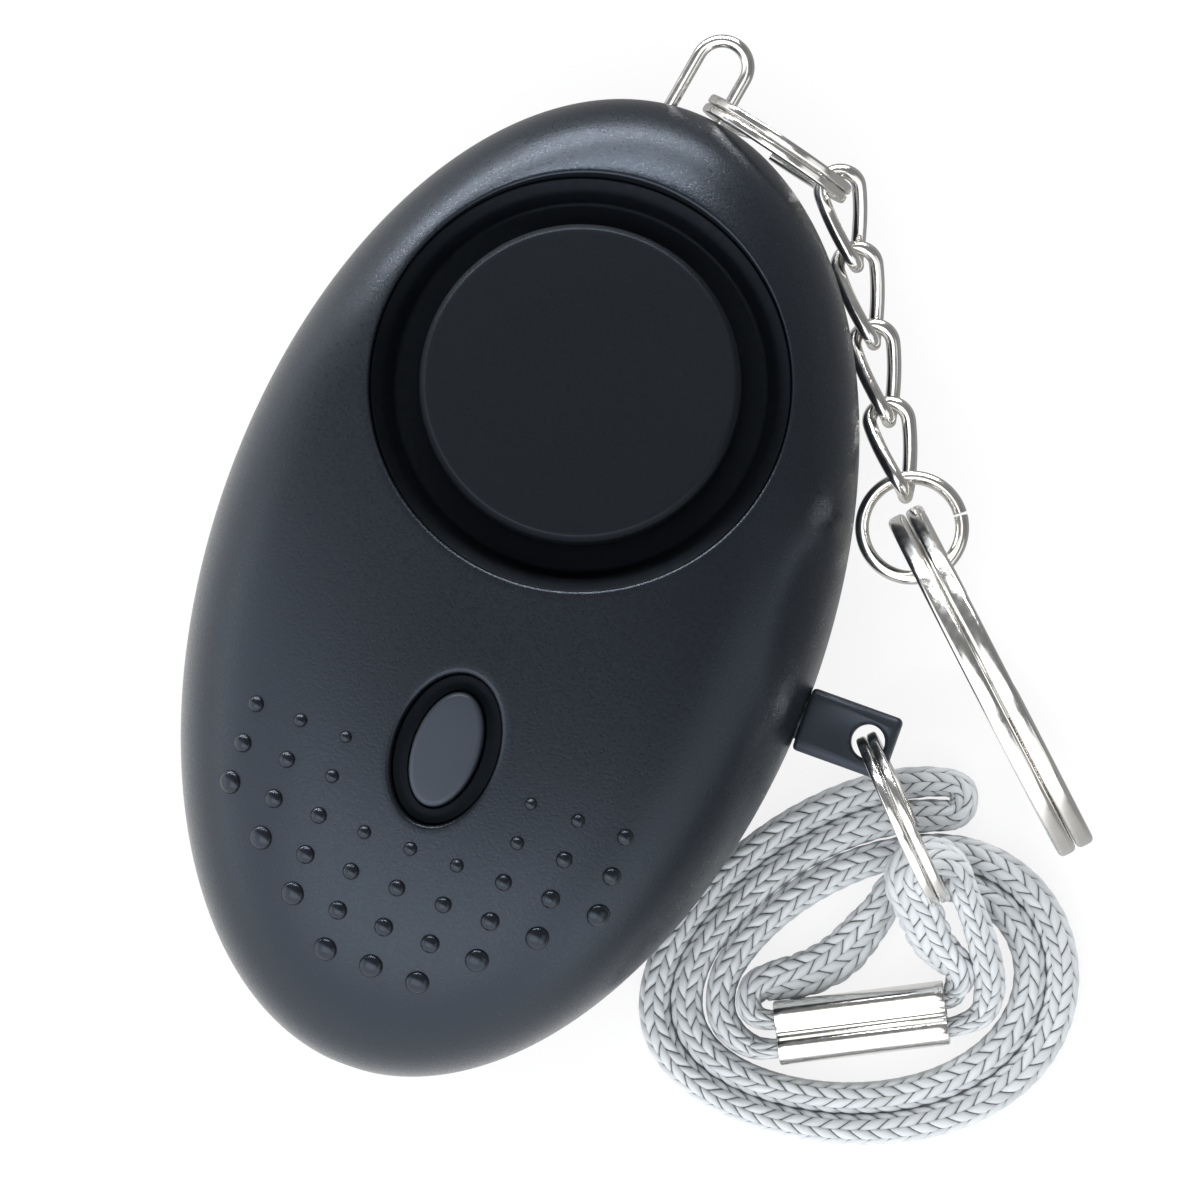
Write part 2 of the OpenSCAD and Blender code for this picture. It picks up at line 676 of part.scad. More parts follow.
module sounder_ceramic() color("#dcdcd4") at_speaker()
  translate([0, 0, ledge_z - ceramic_t]) cylinder(d = plate_d - 2*ledge_w - 3, h = ceramic_t, $fn = 72);

module sounder_wire(x) {
  path = wire_points(x);
  sweep(path, [for (p = path) [1, 0, 0]], round_section(wire_d, 8));
}

module sounder_wire_red() color("#b8322b") sounder_wire(wire_x);

module sounder_wire_black() color("#1b1b1d") sounder_wire(-wire_x);

// Torch and switch

module torch_button() color("#343840") translate([0, button_y, 0]) {
  translate([0, 0, flange_top - flange_t/2])
    oval(button_l, button_w, button_top - flange_top + flange_t/2 - button_edge);
  translate([0, 0, flange_top])
    oval(button_l - 2*button_edge, button_w - 2*button_edge, button_top - flange_top);
  translate([0, 0, flange_top - flange_t])
    oval(button_l + 2*flange_lap, button_w + 2*flange_lap, flange_t);
  translate([0, 0, switch_top + plunger_h + fit_clear])
    cylinder(d = stem_d, h = flange_top - flange_t/2 - switch_top - plunger_h - fit_clear);
}

module button_seal() color("#0d0e10") translate([0, button_y, seal_top - seal_t]) difference() {
  oval(button_l + 2*recess_gap - 2*fit_clear, button_w + 2*recess_gap - 2*fit_clear, seal_t);
  translate([0, 0, -past]) oval(button_l + 2*slide_clear, button_w + 2*slide_clear, seal_t + 2*past);
}

module switch_body() color("#1d1e21") translate([0, button_y, board_top]) difference() {
  block([switch_w, switch_w, switch_h]);
  translate([0, 0, switch_h - button_travel - slide_clear])
    cylinder(d = plunger_d + 2*fit_clear, h = switch_h);
}

module switch_plunger() color("#c9c4b4") translate([0, button_y, switch_top])
  cylinder(d = plunger_d, h = plunger_h);

module torch_led() color("#e8eef2") {
  translate([0, board_end_y - fit_clear, part_z]) rotate([90, 0, 0]) {
    cylinder(d = led_flange_d, h = led_flange_t);
    cylinder(d = led_d, h = led_l - led_d/2);
    translate([0, 0, led_l - led_d/2]) sphere(d = led_d);
  }
  // Leads on the board
  for (s = [-1, 1])
    translate([s*led_pitch/2, board_end_y - led_flange_t, board_top])
      block([led_lead, 2*led_lead_l, led_lead]);
}

module torch_lens() color("#dfe8ee") translate([0, -body_l/2, part_z]) rotate([-90, 0, 0]) {
  translate([0, 0, lens_recess]) cylinder(d = lens_d, h = lens_back - lens_recess);
  translate([0, 0, lens_back]) cylinder(d = lens_flange_d, h = lens_flange_t);
}

// Electronics

module circuit_board() color("#1f5c3a") difference() {
  intersection() {
    translate([0, 0, board_z]) egg_plate(board_inset, board_t);
    translate([-body_w, board_end_y, board_z - past])
      cube([2*body_w, board_top_y - board_end_y, board_t + 2*past]);
  }
  at_places(screw_places, board_z - past) cylinder(d = boss_d + 2*slide_clear, h = board_t + 2*past);
  at_places(post_places, board_z - past) cylinder(d = board_screw_d + 2*fit_clear, h = board_t + 2*past);
  // Room for the pin and its guide
  translate([pin_tip_x - notch_room, pin_y - guide_w/2 - guide_room, board_z - past])
    cube([body_w, guide_w + 2*guide_room, board_t + 2*past]);
}

module board_screws() color("#9a9da3") at_places(post_places, board_top) {
  cylinder(d = board_screw_head_d, h = board_screw_head_h);
  translate([0, 0, -board_t - board_screw_l + past])
    cylinder(d = board_screw_d, h = board_t + board_screw_l - past);
}

module driver_chip() color("#17181a") translate([0, -17.2, board_top]) block([5, 4, 1.6]);

module step_up_coil() color("#5b3a24") translate([-9, -7.5, board_top]) {
  cylinder(d = 6, h = 0.8);
  cylinder(d = 4, h = 3.6);
  translate([0, 0, 2.8]) cylinder(d = 6, h = 0.8);
}

module board_parts() color("#b9a27c")
  for (p = [[-11, 1.5], [-8.5, 1.5], [6.5, -13.5], [6.5, -11], [-5.2, -13.8], [-5.2, -11.2]])
    translate([p.x, p.y, board_top]) block([1.2, 2, 0.6]);

module coin_cell(z) translate([0, cell_y, z]) {
  cylinder(d = cell_d - 2.4, h = 0.3, $fn = 72);
  translate([0, 0, 0.3]) cylinder(d = cell_d, h = cell_h - 0.3, $fn = 72);
}

module coin_cell_upper() color("#c7c9cc") coin_cell(cells_z + cell_h);

module coin_cell_lower() color("#bfc1c4") coin_cell(cells_z);

module cell_spring() color("#d2b35f") translate([0, cell_y, wall])
  rotate_extrude()
    polygon([[spring_foot - 0.4, 0], [spring_foot, 0], [spring_foot, sheet_t], [spring_top + 0.4, spring_h],
             [spring_top, spring_h], [spring_top, spring_h - sheet_t]]);

module cell_contact() color("#d2b35f") translate([0, cell_y, contact_z]) cylinder(d = 12, h = contact_t);

// Trigger

module pin_guide() color("#3a3d42") translate([guide_x, pin_y, part_z]) difference() {
  translate([0, -guide_w/2, -guide_w/2]) cube([guide_l, guide_w, guide_w]);
  translate([-past, 0, 0]) rotate([0, 90, 0]) cylinder(d = shank_d + 2*fit_clear, h = guide_l + 2*past);
}

module blade(y, z) {
  translate([blade_root_x, y - blade_t/2, z]) cube([blade_l, blade_t, blade_h]);
  translate([blade_root_x, y, z]) cylinder(d = blade_root_d, h = blade_h);
}

module fixed_contact() color("#d8b455") blade(fixed_y, board_top);

module moving_contact() color("#d8b455") blade(moving_y, board_top + fit_clear);

module pull_pin() color("#17191c") translate([pin_head_x, pin_y, part_z]) difference() {
  union() {
    // Head, rounded on its long edges
    intersection() {
      translate([0, -head_w/2, -head_t/2]) cube([head_l, head_w, head_t]);
      rotate([0, 90, 0]) cylinder(d = norm([head_w, head_t]) - 0.6, h = head_l, $fn = 48);
    }
    translate([-shank_l + tip_taper, 0, 0])
      rotate([0, 90, 0]) cylinder(d = shank_d, h = shank_l - tip_taper + past);
    translate([-shank_l, 0, 0]) rotate([0, 90, 0]) cylinder(d1 = tip_d, d2 = shank_d, h = tip_taper);
  }
  translate([eye_x, 0, -head_t]) cylinder(d = eye_d, h = 2*head_t);
}

module pin_ring() color("#c9ccd0")
  split_ring(pin_ring_centre, pin_ring_dir, pin_ring_axis, pin_ring_d, pin_ring_band, pin_ring_t, 60);

module strap_crimp() color("#c4c7cb")
  translate([crimp_at.x, crimp_at.y, crimp_z]) rotate([0, 0, crimp_turn]) {
  room = strap_t + 2*fit_clear;
  outer = [crimp_l, 2*lane + room + 2*crimp_wall, strap_w + 2*fit_clear + 2*crimp_wall];
  difference() {
    translate([0, 0, -outer.z/2]) block(outer);
    for (s = [-1, 1])
      translate([0, s*lane, -strap_w/2 - fit_clear]) block([crimp_l + 2*past, room, strap_w + 2*fit_clear]);
  }
}

module wrist_strap() color("#c3c9cd") {
  echo(strap_gap = strap_gap);
  sweep(strap_route, strap_ups, band_section(strap_t, strap_w, strap_t/4));
}

// Key chain

module bail() color("#c9ccd0") at_bail() {
  arc_y = bail_top_y - bail_wire/2 - bail_w/2;
  translate([0, arc_y, 0])
    rotate_extrude(angle = 180) translate([bail_w/2, 0]) circle(d = bail_wire, $fn = 24);
  for (s = [-1, 1])
    translate([s*bail_w/2, bail_root_y, 0]) {
      rotate([-90, 0, 0]) cylinder(d = bail_wire, h = arc_y - bail_root_y, $fn = 24);
      sphere(d = bail_wire, $fn = 24);
      rotate([0, s*90, 0]) cylinder(d = bail_wire, h = bail_foot, $fn = 24);
    }
}

module top_ring() color("#c9ccd0")
  split_ring(top_ring_centre, top_ring_dir, top_ring_axis, top_ring_d, top_ring_band, top_ring_t, 120);

module chain_link_1() color("#c4c7cb") chain_link(0);

module chain_link_2() color("#c9ccd0") chain_link(1);

module chain_link_3() color("#c4c7cb") chain_link(2);

module chain_link_4() color("#c9ccd0") chain_link(3);

module jump_ring() color("#c9ccd0") translate(jump_centre)
  rotate([0, 0, jump_gap_at + jump_gap/2])
    rotate_extrude(angle = 360 - jump_gap, $fn = 48)
      translate([jump_d/2 - jump_wire/2, 0]) circle(d = jump_wire, $fn = 24);

module key_ring() color("#ced1d5")
  split_ring(key_centre, key_dir, key_axis, key_ring_d, key_band, key_t, 100);

front_shell();
rear_shell();
shell_screws();
speaker_ring();
speaker_cap();
sounder_cup();
sounder_plate();
sounder_ceramic();
sounder_wire_red();
sounder_wire_black();
torch_button();
button_seal();
switch_body();
switch_plunger();
torch_led();
torch_lens();
circuit_board();
board_screws();
driver_chip();
step_up_coil();
board_parts();
coin_cell_upper();
coin_cell_lower();
cell_spring();
cell_contact();
pin_guide();
fixed_contact();
moving_contact();
pull_pin();
pin_ring();
strap_crimp();
wrist_strap();
bail();
top_ring();
chain_link_1();
chain_link_2();
chain_link_3();
chain_link_4();
jump_ring();
key_ring();
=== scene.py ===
"""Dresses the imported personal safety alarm: an egg-shaped case with a round speaker, a torch button and
grip dots, a short chain with a key ring, and a pull pin on a braided wrist strap."""

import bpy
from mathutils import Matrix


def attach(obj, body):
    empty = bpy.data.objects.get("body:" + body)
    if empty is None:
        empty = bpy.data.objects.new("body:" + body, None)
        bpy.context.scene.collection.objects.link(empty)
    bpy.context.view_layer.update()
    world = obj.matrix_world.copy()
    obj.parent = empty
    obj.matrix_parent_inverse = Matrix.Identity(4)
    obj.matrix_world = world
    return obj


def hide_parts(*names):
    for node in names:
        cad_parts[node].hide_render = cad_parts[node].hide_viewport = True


bl_info = {
    "name": "Personal Safety Alarm",
    "version": (1, 0, 0),
    "blender": (4, 5, 0),
    "location": "View3D > Sidebar > Alarm",
    "description": "Builds an egg-shaped personal alarm with its chain, pull pin and wrist strap",
    "category": "Add Mesh",
}

import math

import bmesh
import bpy
import numpy as np
from bpy.props import FloatProperty, FloatVectorProperty, IntProperty, PointerProperty
from mathutils import Matrix, Vector
from mathutils.geometry import delaunay_2d_cdt

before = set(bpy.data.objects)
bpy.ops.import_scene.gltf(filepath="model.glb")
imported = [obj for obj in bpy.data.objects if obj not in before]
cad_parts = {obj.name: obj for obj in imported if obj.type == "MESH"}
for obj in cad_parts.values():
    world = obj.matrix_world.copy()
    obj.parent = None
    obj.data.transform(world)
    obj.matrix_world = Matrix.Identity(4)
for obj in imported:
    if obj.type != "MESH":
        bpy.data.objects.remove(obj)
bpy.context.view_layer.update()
MM = 0.001
UP = np.array([0.0, 0.0, 1.0])
# Points round the case and the speaker
AROUND = 240

# Fixed places of the CAD frame, in millimetres
PART_Z, WALL = 10.0, 1.8
TAPER, FRONT_POWER, REAR_POWER, REAR_DOME = 0.012, 2.8, 2.2, 10.6
SPEAKER_Y, SPEAKER_Z, SPEAKER_TILT, POCKET_R = 12.9, 19.5371, math.radians(6.5), 12.7
BUTTON_Y, BUTTON_TOP, BUTTON_L, BUTTON_W = -10.5, 21.2487, 3.55, 2.0
SEAL_TOP, RECESS_L, RECESS_W = BUTTON_TOP - 1.2, 4.7, 3.15
PIN_X, PIN_Y = 19.063, -1.6
EYE = np.array([23.263, -1.6, 10.0])
BAIL_PIVOT_Y, BAIL_LEAN, BAIL_HALF = 29.2, math.radians(-10), 1.6
SCREWS, SCREW_SEAT = ((-8.5, -17.0), (8.5, -17.0)), 4.2
# Grip dots: the first row and the number of rows, from the middle column to the outer ones
DOT_PITCH_X, DOT_PITCH_Y, DOT_Y = 2.95, 2.49, -24.3
DOT_COLUMNS = ((0, 4), (0, 4), (1, 5), (2, 4), (3, 3))
DOT_DIAMETERS = (1.46, 1.16, 1.03, 0.85, 0.75)


def srgb(code):
    """An sRGB hex value as a linear colour."""
    parts = [int(code[i:i + 2], 16) / 255 for i in (1, 3, 5)]
    return tuple(c / 12.92 if c <= 0.04045 else ((c + 0.055) / 1.055) ** 2.4 for c in parts) + (1.0,)


def shade(tone, share):
    """A linear colour, lighter or darker by a share."""
    return tuple(min(1.0, c * share) for c in tone[:3]) + (1.0,)


def size(name, text, default, low, high):
    return FloatProperty(name=name, description=text, default=default * MM, min=low * MM, max=high * MM,
                         subtype="DISTANCE", unit="LENGTH", precision=5)


def colour(name, text, code):
    return FloatVectorProperty(name=name, description=text, default=srgb(code), size=4, min=0.0, max=1.0,
                               subtype="COLOR")


def level(name, text, default):
    return FloatProperty(name=name, description=text, default=default, min=0.0, max=20.0)


class AlarmSizes(bpy.types.PropertyGroup):
    """Sizes of the case, the wires and the strap"""

    body_l: size("Body length", "Length of the egg-shaped case", 62, 58, 68)
    body_w: size("Body width", "Width of the egg-shaped case", 38, 36, 42)
    front_h: size("Front height", "Height of the front shell above the parting line", 11.5, 11, 13)
    edge_round: size("Edge rounding", "Rounding of the pocket's and the recess's edge", 0.3, 0.1, 0.5)
    seam_round: size("Seam rounding", "Rounding of the shells along the parting line", 0.16, 0.05, 0.3)
    dot_h: size("Dot height", "Height of the grip dots", 0.42, 0.2, 0.5)
    link_wire: size("Link wire", "Wire diameter of the chain links", 0.9, 0.8, 0.95)
    jump_wire: size("Jump ring wire", "Wire diameter of the jump ring", 0.85, 0.75, 0.95)
    bail_wire: size("Bail wire", "Wire diameter of the bail", 0.8, 0.6, 0.9)
    strap_w: size("Strap width", "Width of the braided strap", 3.24, 2.8, 3.4)
    strap_t: size("Strap thickness", "Thickness of the strap where it has the most room", 2.4, 1.1, 2.5)
    stitch: size("Stitch pitch", "Distance between two stitches along the braid", 1.22, 0.6, 1.6)
    columns: IntProperty(name="Braid columns", description="Columns of stitches round the strap", default=10,
                         min=6, max=16)


class AlarmColours(bpy.types.PropertyGroup):
    """Colours of the finishes"""

    shell: colour("Case", "Moulded plastic of the two shells", "#15171b")
    grille: colour("Speaker ring", "Black plastic of the ring round the speaker", "#050608")
    cap: colour("Speaker cap", "Satin plastic of the round cap", "#0c0d0f")
    button: colour("Button", "Satin plastic of the torch button", "#363a41")
    # The seal's near-black is partly painted shade, standing in for the shade deep in the groove round the
    # button
    seal: colour("Seal", "Rubber round the button", "#060708")
    pin: colour("Pull pin", "Moulded plastic of the pull pin", "#24272c")
    nickel: colour("Nickel", "Plating of the rings, the chain and the crimp", "#f3f1ed")
    braid: colour("Strap", "Polyester braid of the wrist strap", "#d0d4d7")


class AlarmStage(bpy.types.PropertyGroup):
    """Levels of the studio light"""

    tail: level("Tail softbox", "Brightness of the softbox at the torch end", 0.85)
    head: level("Head strips", "Brightness of the two strips at the bail end", 12.0)
    side: level("Side softboxes", "Brightness of the softboxes beside the alarm", 1.5)
    metal: level("Metal fill", "Brightness of the light from above that only the metal shows", 1.4)
    fill: level("Top fill", "Brightness of the soft fill from above", 0.5)
    tent: level("Tent", "Brightness of the white cloth at the torch end", 1.7)
    shade: level("Tent shade", "Brightness of the dark cloth over the alarm and at the bail end", 0.22)


def mm(value):
    return value / MM


# Meshes


def add(name, data):
    """An object with its data, linked to the scene."""
    made = bpy.data.objects.new(name, data)
    bpy.context.scene.collection.objects.link(made)
    return made


def new_object(name, points, faces):
    """An object with a mesh from points in millimetres."""
    mesh = bpy.data.meshes.new(name)
    mesh.from_pydata((np.asarray(points, float) * MM).tolist(), [], [list(map(int, f)) for f in faces])
    mesh.update()
    return add(name, mesh)


def outward(obj):
    """Merges doubles and turns a closed mesh's faces outwards."""
    work = bmesh.new()
    work.from_mesh(obj.data)
    bmesh.ops.remove_doubles(work, verts=work.verts, dist=1e-8)
    bmesh.ops.recalc_face_normals(work, faces=work.faces)
    work.to_mesh(obj.data)
    work.free()
    obj.data.update()
    return obj


def evaluated(obj):
    graph = bpy.context.evaluated_depsgraph_get()
    return bpy.data.meshes.new_from_object(obj.evaluated_get(graph), depsgraph=graph)


def cut(obj, *cutters):
    """Takes closed cutters out of a closed piece."""
    for cutter in cutters:
        step = obj.modifiers.new("cut", "BOOLEAN")
        step.operation, step.solver, step.object = "DIFFERENCE", "EXACT", cutter
        mesh = evaluated(obj)
        obj.modifiers.clear()
        obj.data = mesh
        bpy.data.objects.remove(cutter)
    if not obj.data.polygons:
        raise RuntimeError(f"{obj.name}: nothing is left after a cut")
    return obj


def join(obj, *others):
    """Adds other meshes to a piece's mesh."""
    work = bmesh.new()
    work.from_mesh(obj.data)
    for other in others:
        work.from_mesh(other.data)
        bpy.data.objects.remove(other)
    work.to_mesh(obj.data)
    work.free()
    return obj


def bright_metal():
    """The collection of the pieces that the metal fill lights."""
    return bpy.data.collections.get("bright_metal") or bpy.data.collections.new("bright_metal")


def dress(obj, look, body, slot, *nodes, crisp=40):
    """Gives a finished piece its shading, smooth up to an angle in degrees, its finish, its body and the
    CAD nodes that it stands for."""
    obj.data.shade_smooth()
    obj.data.set_sharp_from_angle(angle=math.radians(crisp))
    obj.data.materials.clear()
    obj.data.materials.append(finish(look))
    if slot == "nickel_plate":
        bright_metal().objects.link(obj)
    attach(obj, body)
    if nodes:
        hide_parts(*nodes)
    return obj


def circle(count):
    """Angles evenly round a circle."""
    return np.linspace(0, 2 * np.pi, count, endpoint=False)


def oval(half_x, half_y, count, x=0.0, y=0.0):
    """Flat points round an oval."""
    t = circle(count)
    return np.column_stack([x + half_x * np.cos(t), y + half_y * np.sin(t)])


def lifted(ring, z):
    """Flat points at a height."""
    return np.column_stack([ring, np.full(len(ring), z)])


def strip(a, b):
    """Quads between two loops of point numbers."""
    return np.stack([a, np.roll(a, -1), np.roll(b, -1), b], 1).tolist()


def loft_faces(rows, columns, ring=True, loop=False):
    """Quads between rows of points."""
    spans = rows if loop else rows - 1
    around = columns if ring else columns - 1
    i, k = np.meshgrid(np.arange(spans), np.arange(around), indexing="ij")
    n, m = (i + 1) % rows, (k + 1) % columns
    quads = np.stack([i * columns + k, i * columns + m, n * columns + m, n * columns + k], -1)
    return quads.reshape(-1, 4).tolist()


def loft(name, rows, loop=False):
    """A closed skin over rings of points, with capped ends unless it is a loop."""
    rows = np.asarray(rows, float)
    count, around = rows.shape[:2]
    faces = loft_faces(count, around, True, loop)
    if not loop:
        faces += [list(range(around))[::-1], list(range((count - 1) * around, count * around))]
    return outward(new_object(name, rows.reshape(-1, 3), faces))


def lathe(name, profile, place, around=144):
    """A turned piece from radius and height pairs, placed by a function. Ends on the axis become poles."""
    points = [lifted(oval(r, r, around), h) for r, h in profile]
    return outward(new_object(name, place(np.concatenate(points)), loft_faces(len(points), around)))


def rounded(corners, radius, steps=5):
    """A profile with its inner corners rounded, from radius and height pairs."""
    out = [corners[0]]
    for a, b, c in zip(corners, corners[1:], corners[2:]):
        a, b, c = (np.array(p, float) for p in (a, b, c))
        reach = min(radius, 0.49 * np.linalg.norm(b - a), 0.49 * np.linalg.norm(c - b))
        first = b + (a - b) / np.linalg.norm(a - b) * reach
        last = b + (c - b) / np.linalg.norm(c - b) * reach
        for f in np.linspace(0, 1, steps):
            out.append(tuple((1 - f) ** 2 * first + 2 * f * (1 - f) * b + f * f * last))
    return out + [corners[-1]]


def upright(x, y):
    return lambda points: points + np.array([x, y, 0.0])


def along(start, direction):
    """Places a turned piece on a slanted axis."""
    turn = np.array(Vector(direction).to_track_quat("Z", "Y").to_matrix())
    return lambda points: points @ turn.T + np.asarray(start, float)


def at_speaker(points):
    """From the speaker cap's face to the frame."""
    c, s = math.cos(SPEAKER_TILT), math.sin(SPEAKER_TILT)
    x, y, w = np.asarray(points, float).T
    return np.stack([x, SPEAKER_Y + c * y + s * w, SPEAKER_Z - s * y + c * w], 1)


def on_bail(points):
    """From the bail's own plane to the parting line, where it leans about its pivot."""
    turn = np.array(Matrix.Rotation(BAIL_LEAN, 3, "Z"))
    flat = np.array([(x, y - BAIL_PIVOT_Y, 0) for x, y in points])
    return flat @ turn.T + np.array([0, BAIL_PIVOT_Y, PART_Z])


def rod(name, start, end, diameter):
    start, end = np.asarray(start, float), np.asarray(end, float)
    length = float(np.linalg.norm(end - start))
    profile = [(0, 0), (diameter / 2, 0), (diameter / 2, length), (0, length)]
    return lathe(name, profile, along(start, end - start), 48)


# Node trees


def node(tree, kind, inputs=None, stops=(), **settings):
    """Adds a node with its settings, its values and its links. A node as a value links its first output."""
    made = tree.nodes.new(kind)
    for name, value in settings.items():
        setattr(made, name, value)
    for name, value in (inputs or {}).items():
        if isinstance(value, bpy.types.Node):
            value = value.outputs[0]
        if isinstance(value, bpy.types.NodeSocket):
            tree.links.new(value, made.inputs[name])
        else:
            made.inputs[name].default_value = value
    while stops and len(made.color_ramp.elements) < len(stops):
        made.color_ramp.elements.new(0.5)
    for i, (place, tone) in enumerate(stops):
        made.color_ramp.elements[i].position, made.color_ramp.elements[i].color = place, tone
    return made


def geometry_tree(name, *inputs):
    tree = bpy.data.node_groups.new(name, "GeometryNodeTree")
    tree.interface.new_socket("Geometry", in_out="INPUT", socket_type="NodeSocketGeometry")
    for label, kind in inputs:
        tree.interface.new_socket(label, in_out="INPUT", socket_type="NodeSocket" + kind)
    tree.interface.new_socket("Geometry", in_out="OUTPUT", socket_type="NodeSocketGeometry")
    return tree, node(tree, "NodeGroupInput").outputs


def end_tree(tree, shape, look):
    """Ends a tree in plain geometry with its finish."""
    plain = node(tree, "GeometryNodeRealizeInstances", {"Geometry": shape})
    done = node(tree, "GeometryNodeSetMaterial", {"Geometry": plain, "Material": look})
    node(tree, "NodeGroupOutput", {"Geometry": done})
    return tree


def wire_tree():
    """Round wire along a path."""
    name = "Wire along a path"
    if name in bpy.data.node_groups:
        return bpy.data.node_groups[name]
    tree, given = geometry_tree(name, ("Wire radius", "Float"), ("Sides", "Int"), ("Finish", "Material"))
    section = node(tree, "GeometryNodeCurvePrimitiveCircle",
                   {"Resolution": given["Sides"], "Radius": given["Wire radius"]}, mode="RADIUS")
    swept = node(tree, "GeometryNodeCurveToMesh",
                 {"Curve": given["Geometry"], "Profile Curve": section, "Fill Caps": True})
    return end_tree(tree, swept, given["Finish"])


def copies_tree():
    """Copies of one shape on points that carry a turn and a size."""
    name = "Copies on points"
    if name in bpy.data.node_groups:
        return bpy.data.node_groups[name]
    tree, given = geometry_tree(name, ("Shape", "Object"), ("Finish", "Material"))
    shape = node(tree, "GeometryNodeObjectInfo", {"Object": given["Shape"]})
    turn, scale = (node(tree, "GeometryNodeInputNamedAttribute", {"Name": label}, data_type="FLOAT_VECTOR")
                   for label in ("turn", "size"))
    placed = node(tree, "GeometryNodeInstanceOnPoints",
                  {"Points": given["Geometry"], "Instance": shape.outputs["Geometry"], "Rotation": turn,
                   "Scale": scale})
    return end_tree(tree, placed, given["Finish"])


def run_tree(name, source, tree, **values):
    """Runs a node tree on an object and keeps the result as a plain mesh piece."""
    step = source.modifiers.new("shape", "NODES")
    step.node_group = tree
    for item in tree.interface.items_tree:
        label = item.name.replace(" ", "_").lower()
        if item.in_out == "INPUT" and label in values:
            step[item.identifier] = values[label]
    source.update_tag()
    mesh = evaluated(source)
    bpy.data.objects.remove(source)
    mesh.name = name
    if not mesh.polygons:
        raise RuntimeError(f"{name}: the node tree made no faces")
    return add(name, mesh)


def wire(name, points, diameter, closed=False):
    """A piece of round nickel-plated wire through points in millimetres."""
    line = bpy.data.curves.new(name + "_line", "CURVE")
    line.dimensions = "3D"
    spline = line.splines.new("POLY")
    spline.points.add(len(points) - 1)
    for point, place in zip(spline.points, points):
        point.co = (*(np.asarray(place, float) * MM), 1.0)
    spline.use_cyclic_u = closed
    return outward(run_tree(name, add(name + "_line", line), wire_tree(), wire_radius=diameter * MM / 2,
                            sides=24, finish=finish("nickel")))


def copies(name, shape, places, turns, sizes, look):
    """One shape set on places in millimetres, with turns in radians."""
    source = new_object(name + "_points", places, [])
    carried = {"turn": turns, "size": sizes}
    for label, values in carried.items():
        held = source.data.attributes.new(label, "FLOAT_VECTOR", "POINT")
        held.data.foreach_set("vector", np.asarray(values, np.float32).ravel())
    made = run_tree(name, source, copies_tree(), shape=shape, finish=finish(look))
    bpy.data.objects.remove(shape)
    for label in carried:
        if label in made.data.attributes:
            made.data.attributes.remove(made.data.attributes[label])
    return made


# Materials


def material(name):
    made = bpy.data.materials.new(name)
    made.use_nodes = True
    made.node_tree.nodes.clear()
    return made, made.node_tree


def per_mm(length):
    """Scale of a pattern whose features are this many millimetres long."""
    return 1.0 / (length * MM)


def moulded_plastic(name, tone, roughness, grain, depth, glints=0.0, shine=0.5):
    """ABS from a spark-eroded mould: satin, with a fine grain that breaks up its highlights."""
    made, tree = material(name)
    place = node(tree, "ShaderNodeTexCoord").outputs["Object"]
    # Grain of the mould, drawn a little coarser than life so that it shows
    pits = node(tree, "ShaderNodeTexNoise",
                {"Vector": place, "Scale": per_mm(grain), "Detail": 2.0, "Roughness": 0.6})
    clouds = node(tree, "ShaderNodeTexNoise", {"Vector": place, "Scale": per_mm(14.0), "Detail": 3.0})
    base = node(tree, "ShaderNodeValToRGB", {"Fac": clouds},
                [(0.3, shade(tone, 0.9)), (0.7, shade(tone, 1.1))])
    rub = node(tree, "ShaderNodeMapRange", {"Value": pits, "From Min": 0.3, "From Max": 0.7,
                                            "To Min": roughness - 0.06, "To Max": roughness + 0.06})
    bump = node(tree, "ShaderNodeBump", {"Height": pits, "Strength": 0.35 + glints, "Distance": depth * MM})
    skin = node(tree, "ShaderNodeBsdfPrincipled",
                {"Base Color": base, "Roughness": rub, "IOR": 1.53, "Specular IOR Level": shine,
                 "Specular Tint": srgb("#d6e8ff"), "Normal": bump})
    node(tree, "ShaderNodeOutputMaterial", {"Surface": skin})
    return made


def plated_metal(name, tone, roughness=0.17, streak=0.5):
    """Nickel plate on steel: a bright mirror with faint rubbing marks and a warm tone."""
    made, tree = material(name)
    place = node(tree, "ShaderNodeTexCoord").outputs["Object"]
    marks = node(tree, "ShaderNodeTexNoise", {"Vector": place, "Scale": per_mm(streak), "Detail": 4.0})
    clouds = node(tree, "ShaderNodeTexNoise", {"Vector": place, "Scale": per_mm(3.0), "Detail": 2.0})
    base = node(tree, "ShaderNodeValToRGB", {"Fac": clouds}, [(0.3, shade(tone, 0.9)), (0.65, tone)])
    rub = node(tree, "ShaderNodeMapRange", {"Value": marks, "From Min": 0.3, "From Max": 0.75,
                                            "To Min": roughness * 0.6, "To Max": roughness * 1.5})
    bump = node(tree, "ShaderNodeBump", {"Height": marks, "Strength": 0.12, "Distance": 0.01 * MM})
    skin = node(tree, "ShaderNodeBsdfPrincipled",
                {"Base Color": base, "Metallic": 1.0, "Roughness": rub, "Normal": bump})
    node(tree, "ShaderNodeOutputMaterial", {"Surface": skin})
    return made


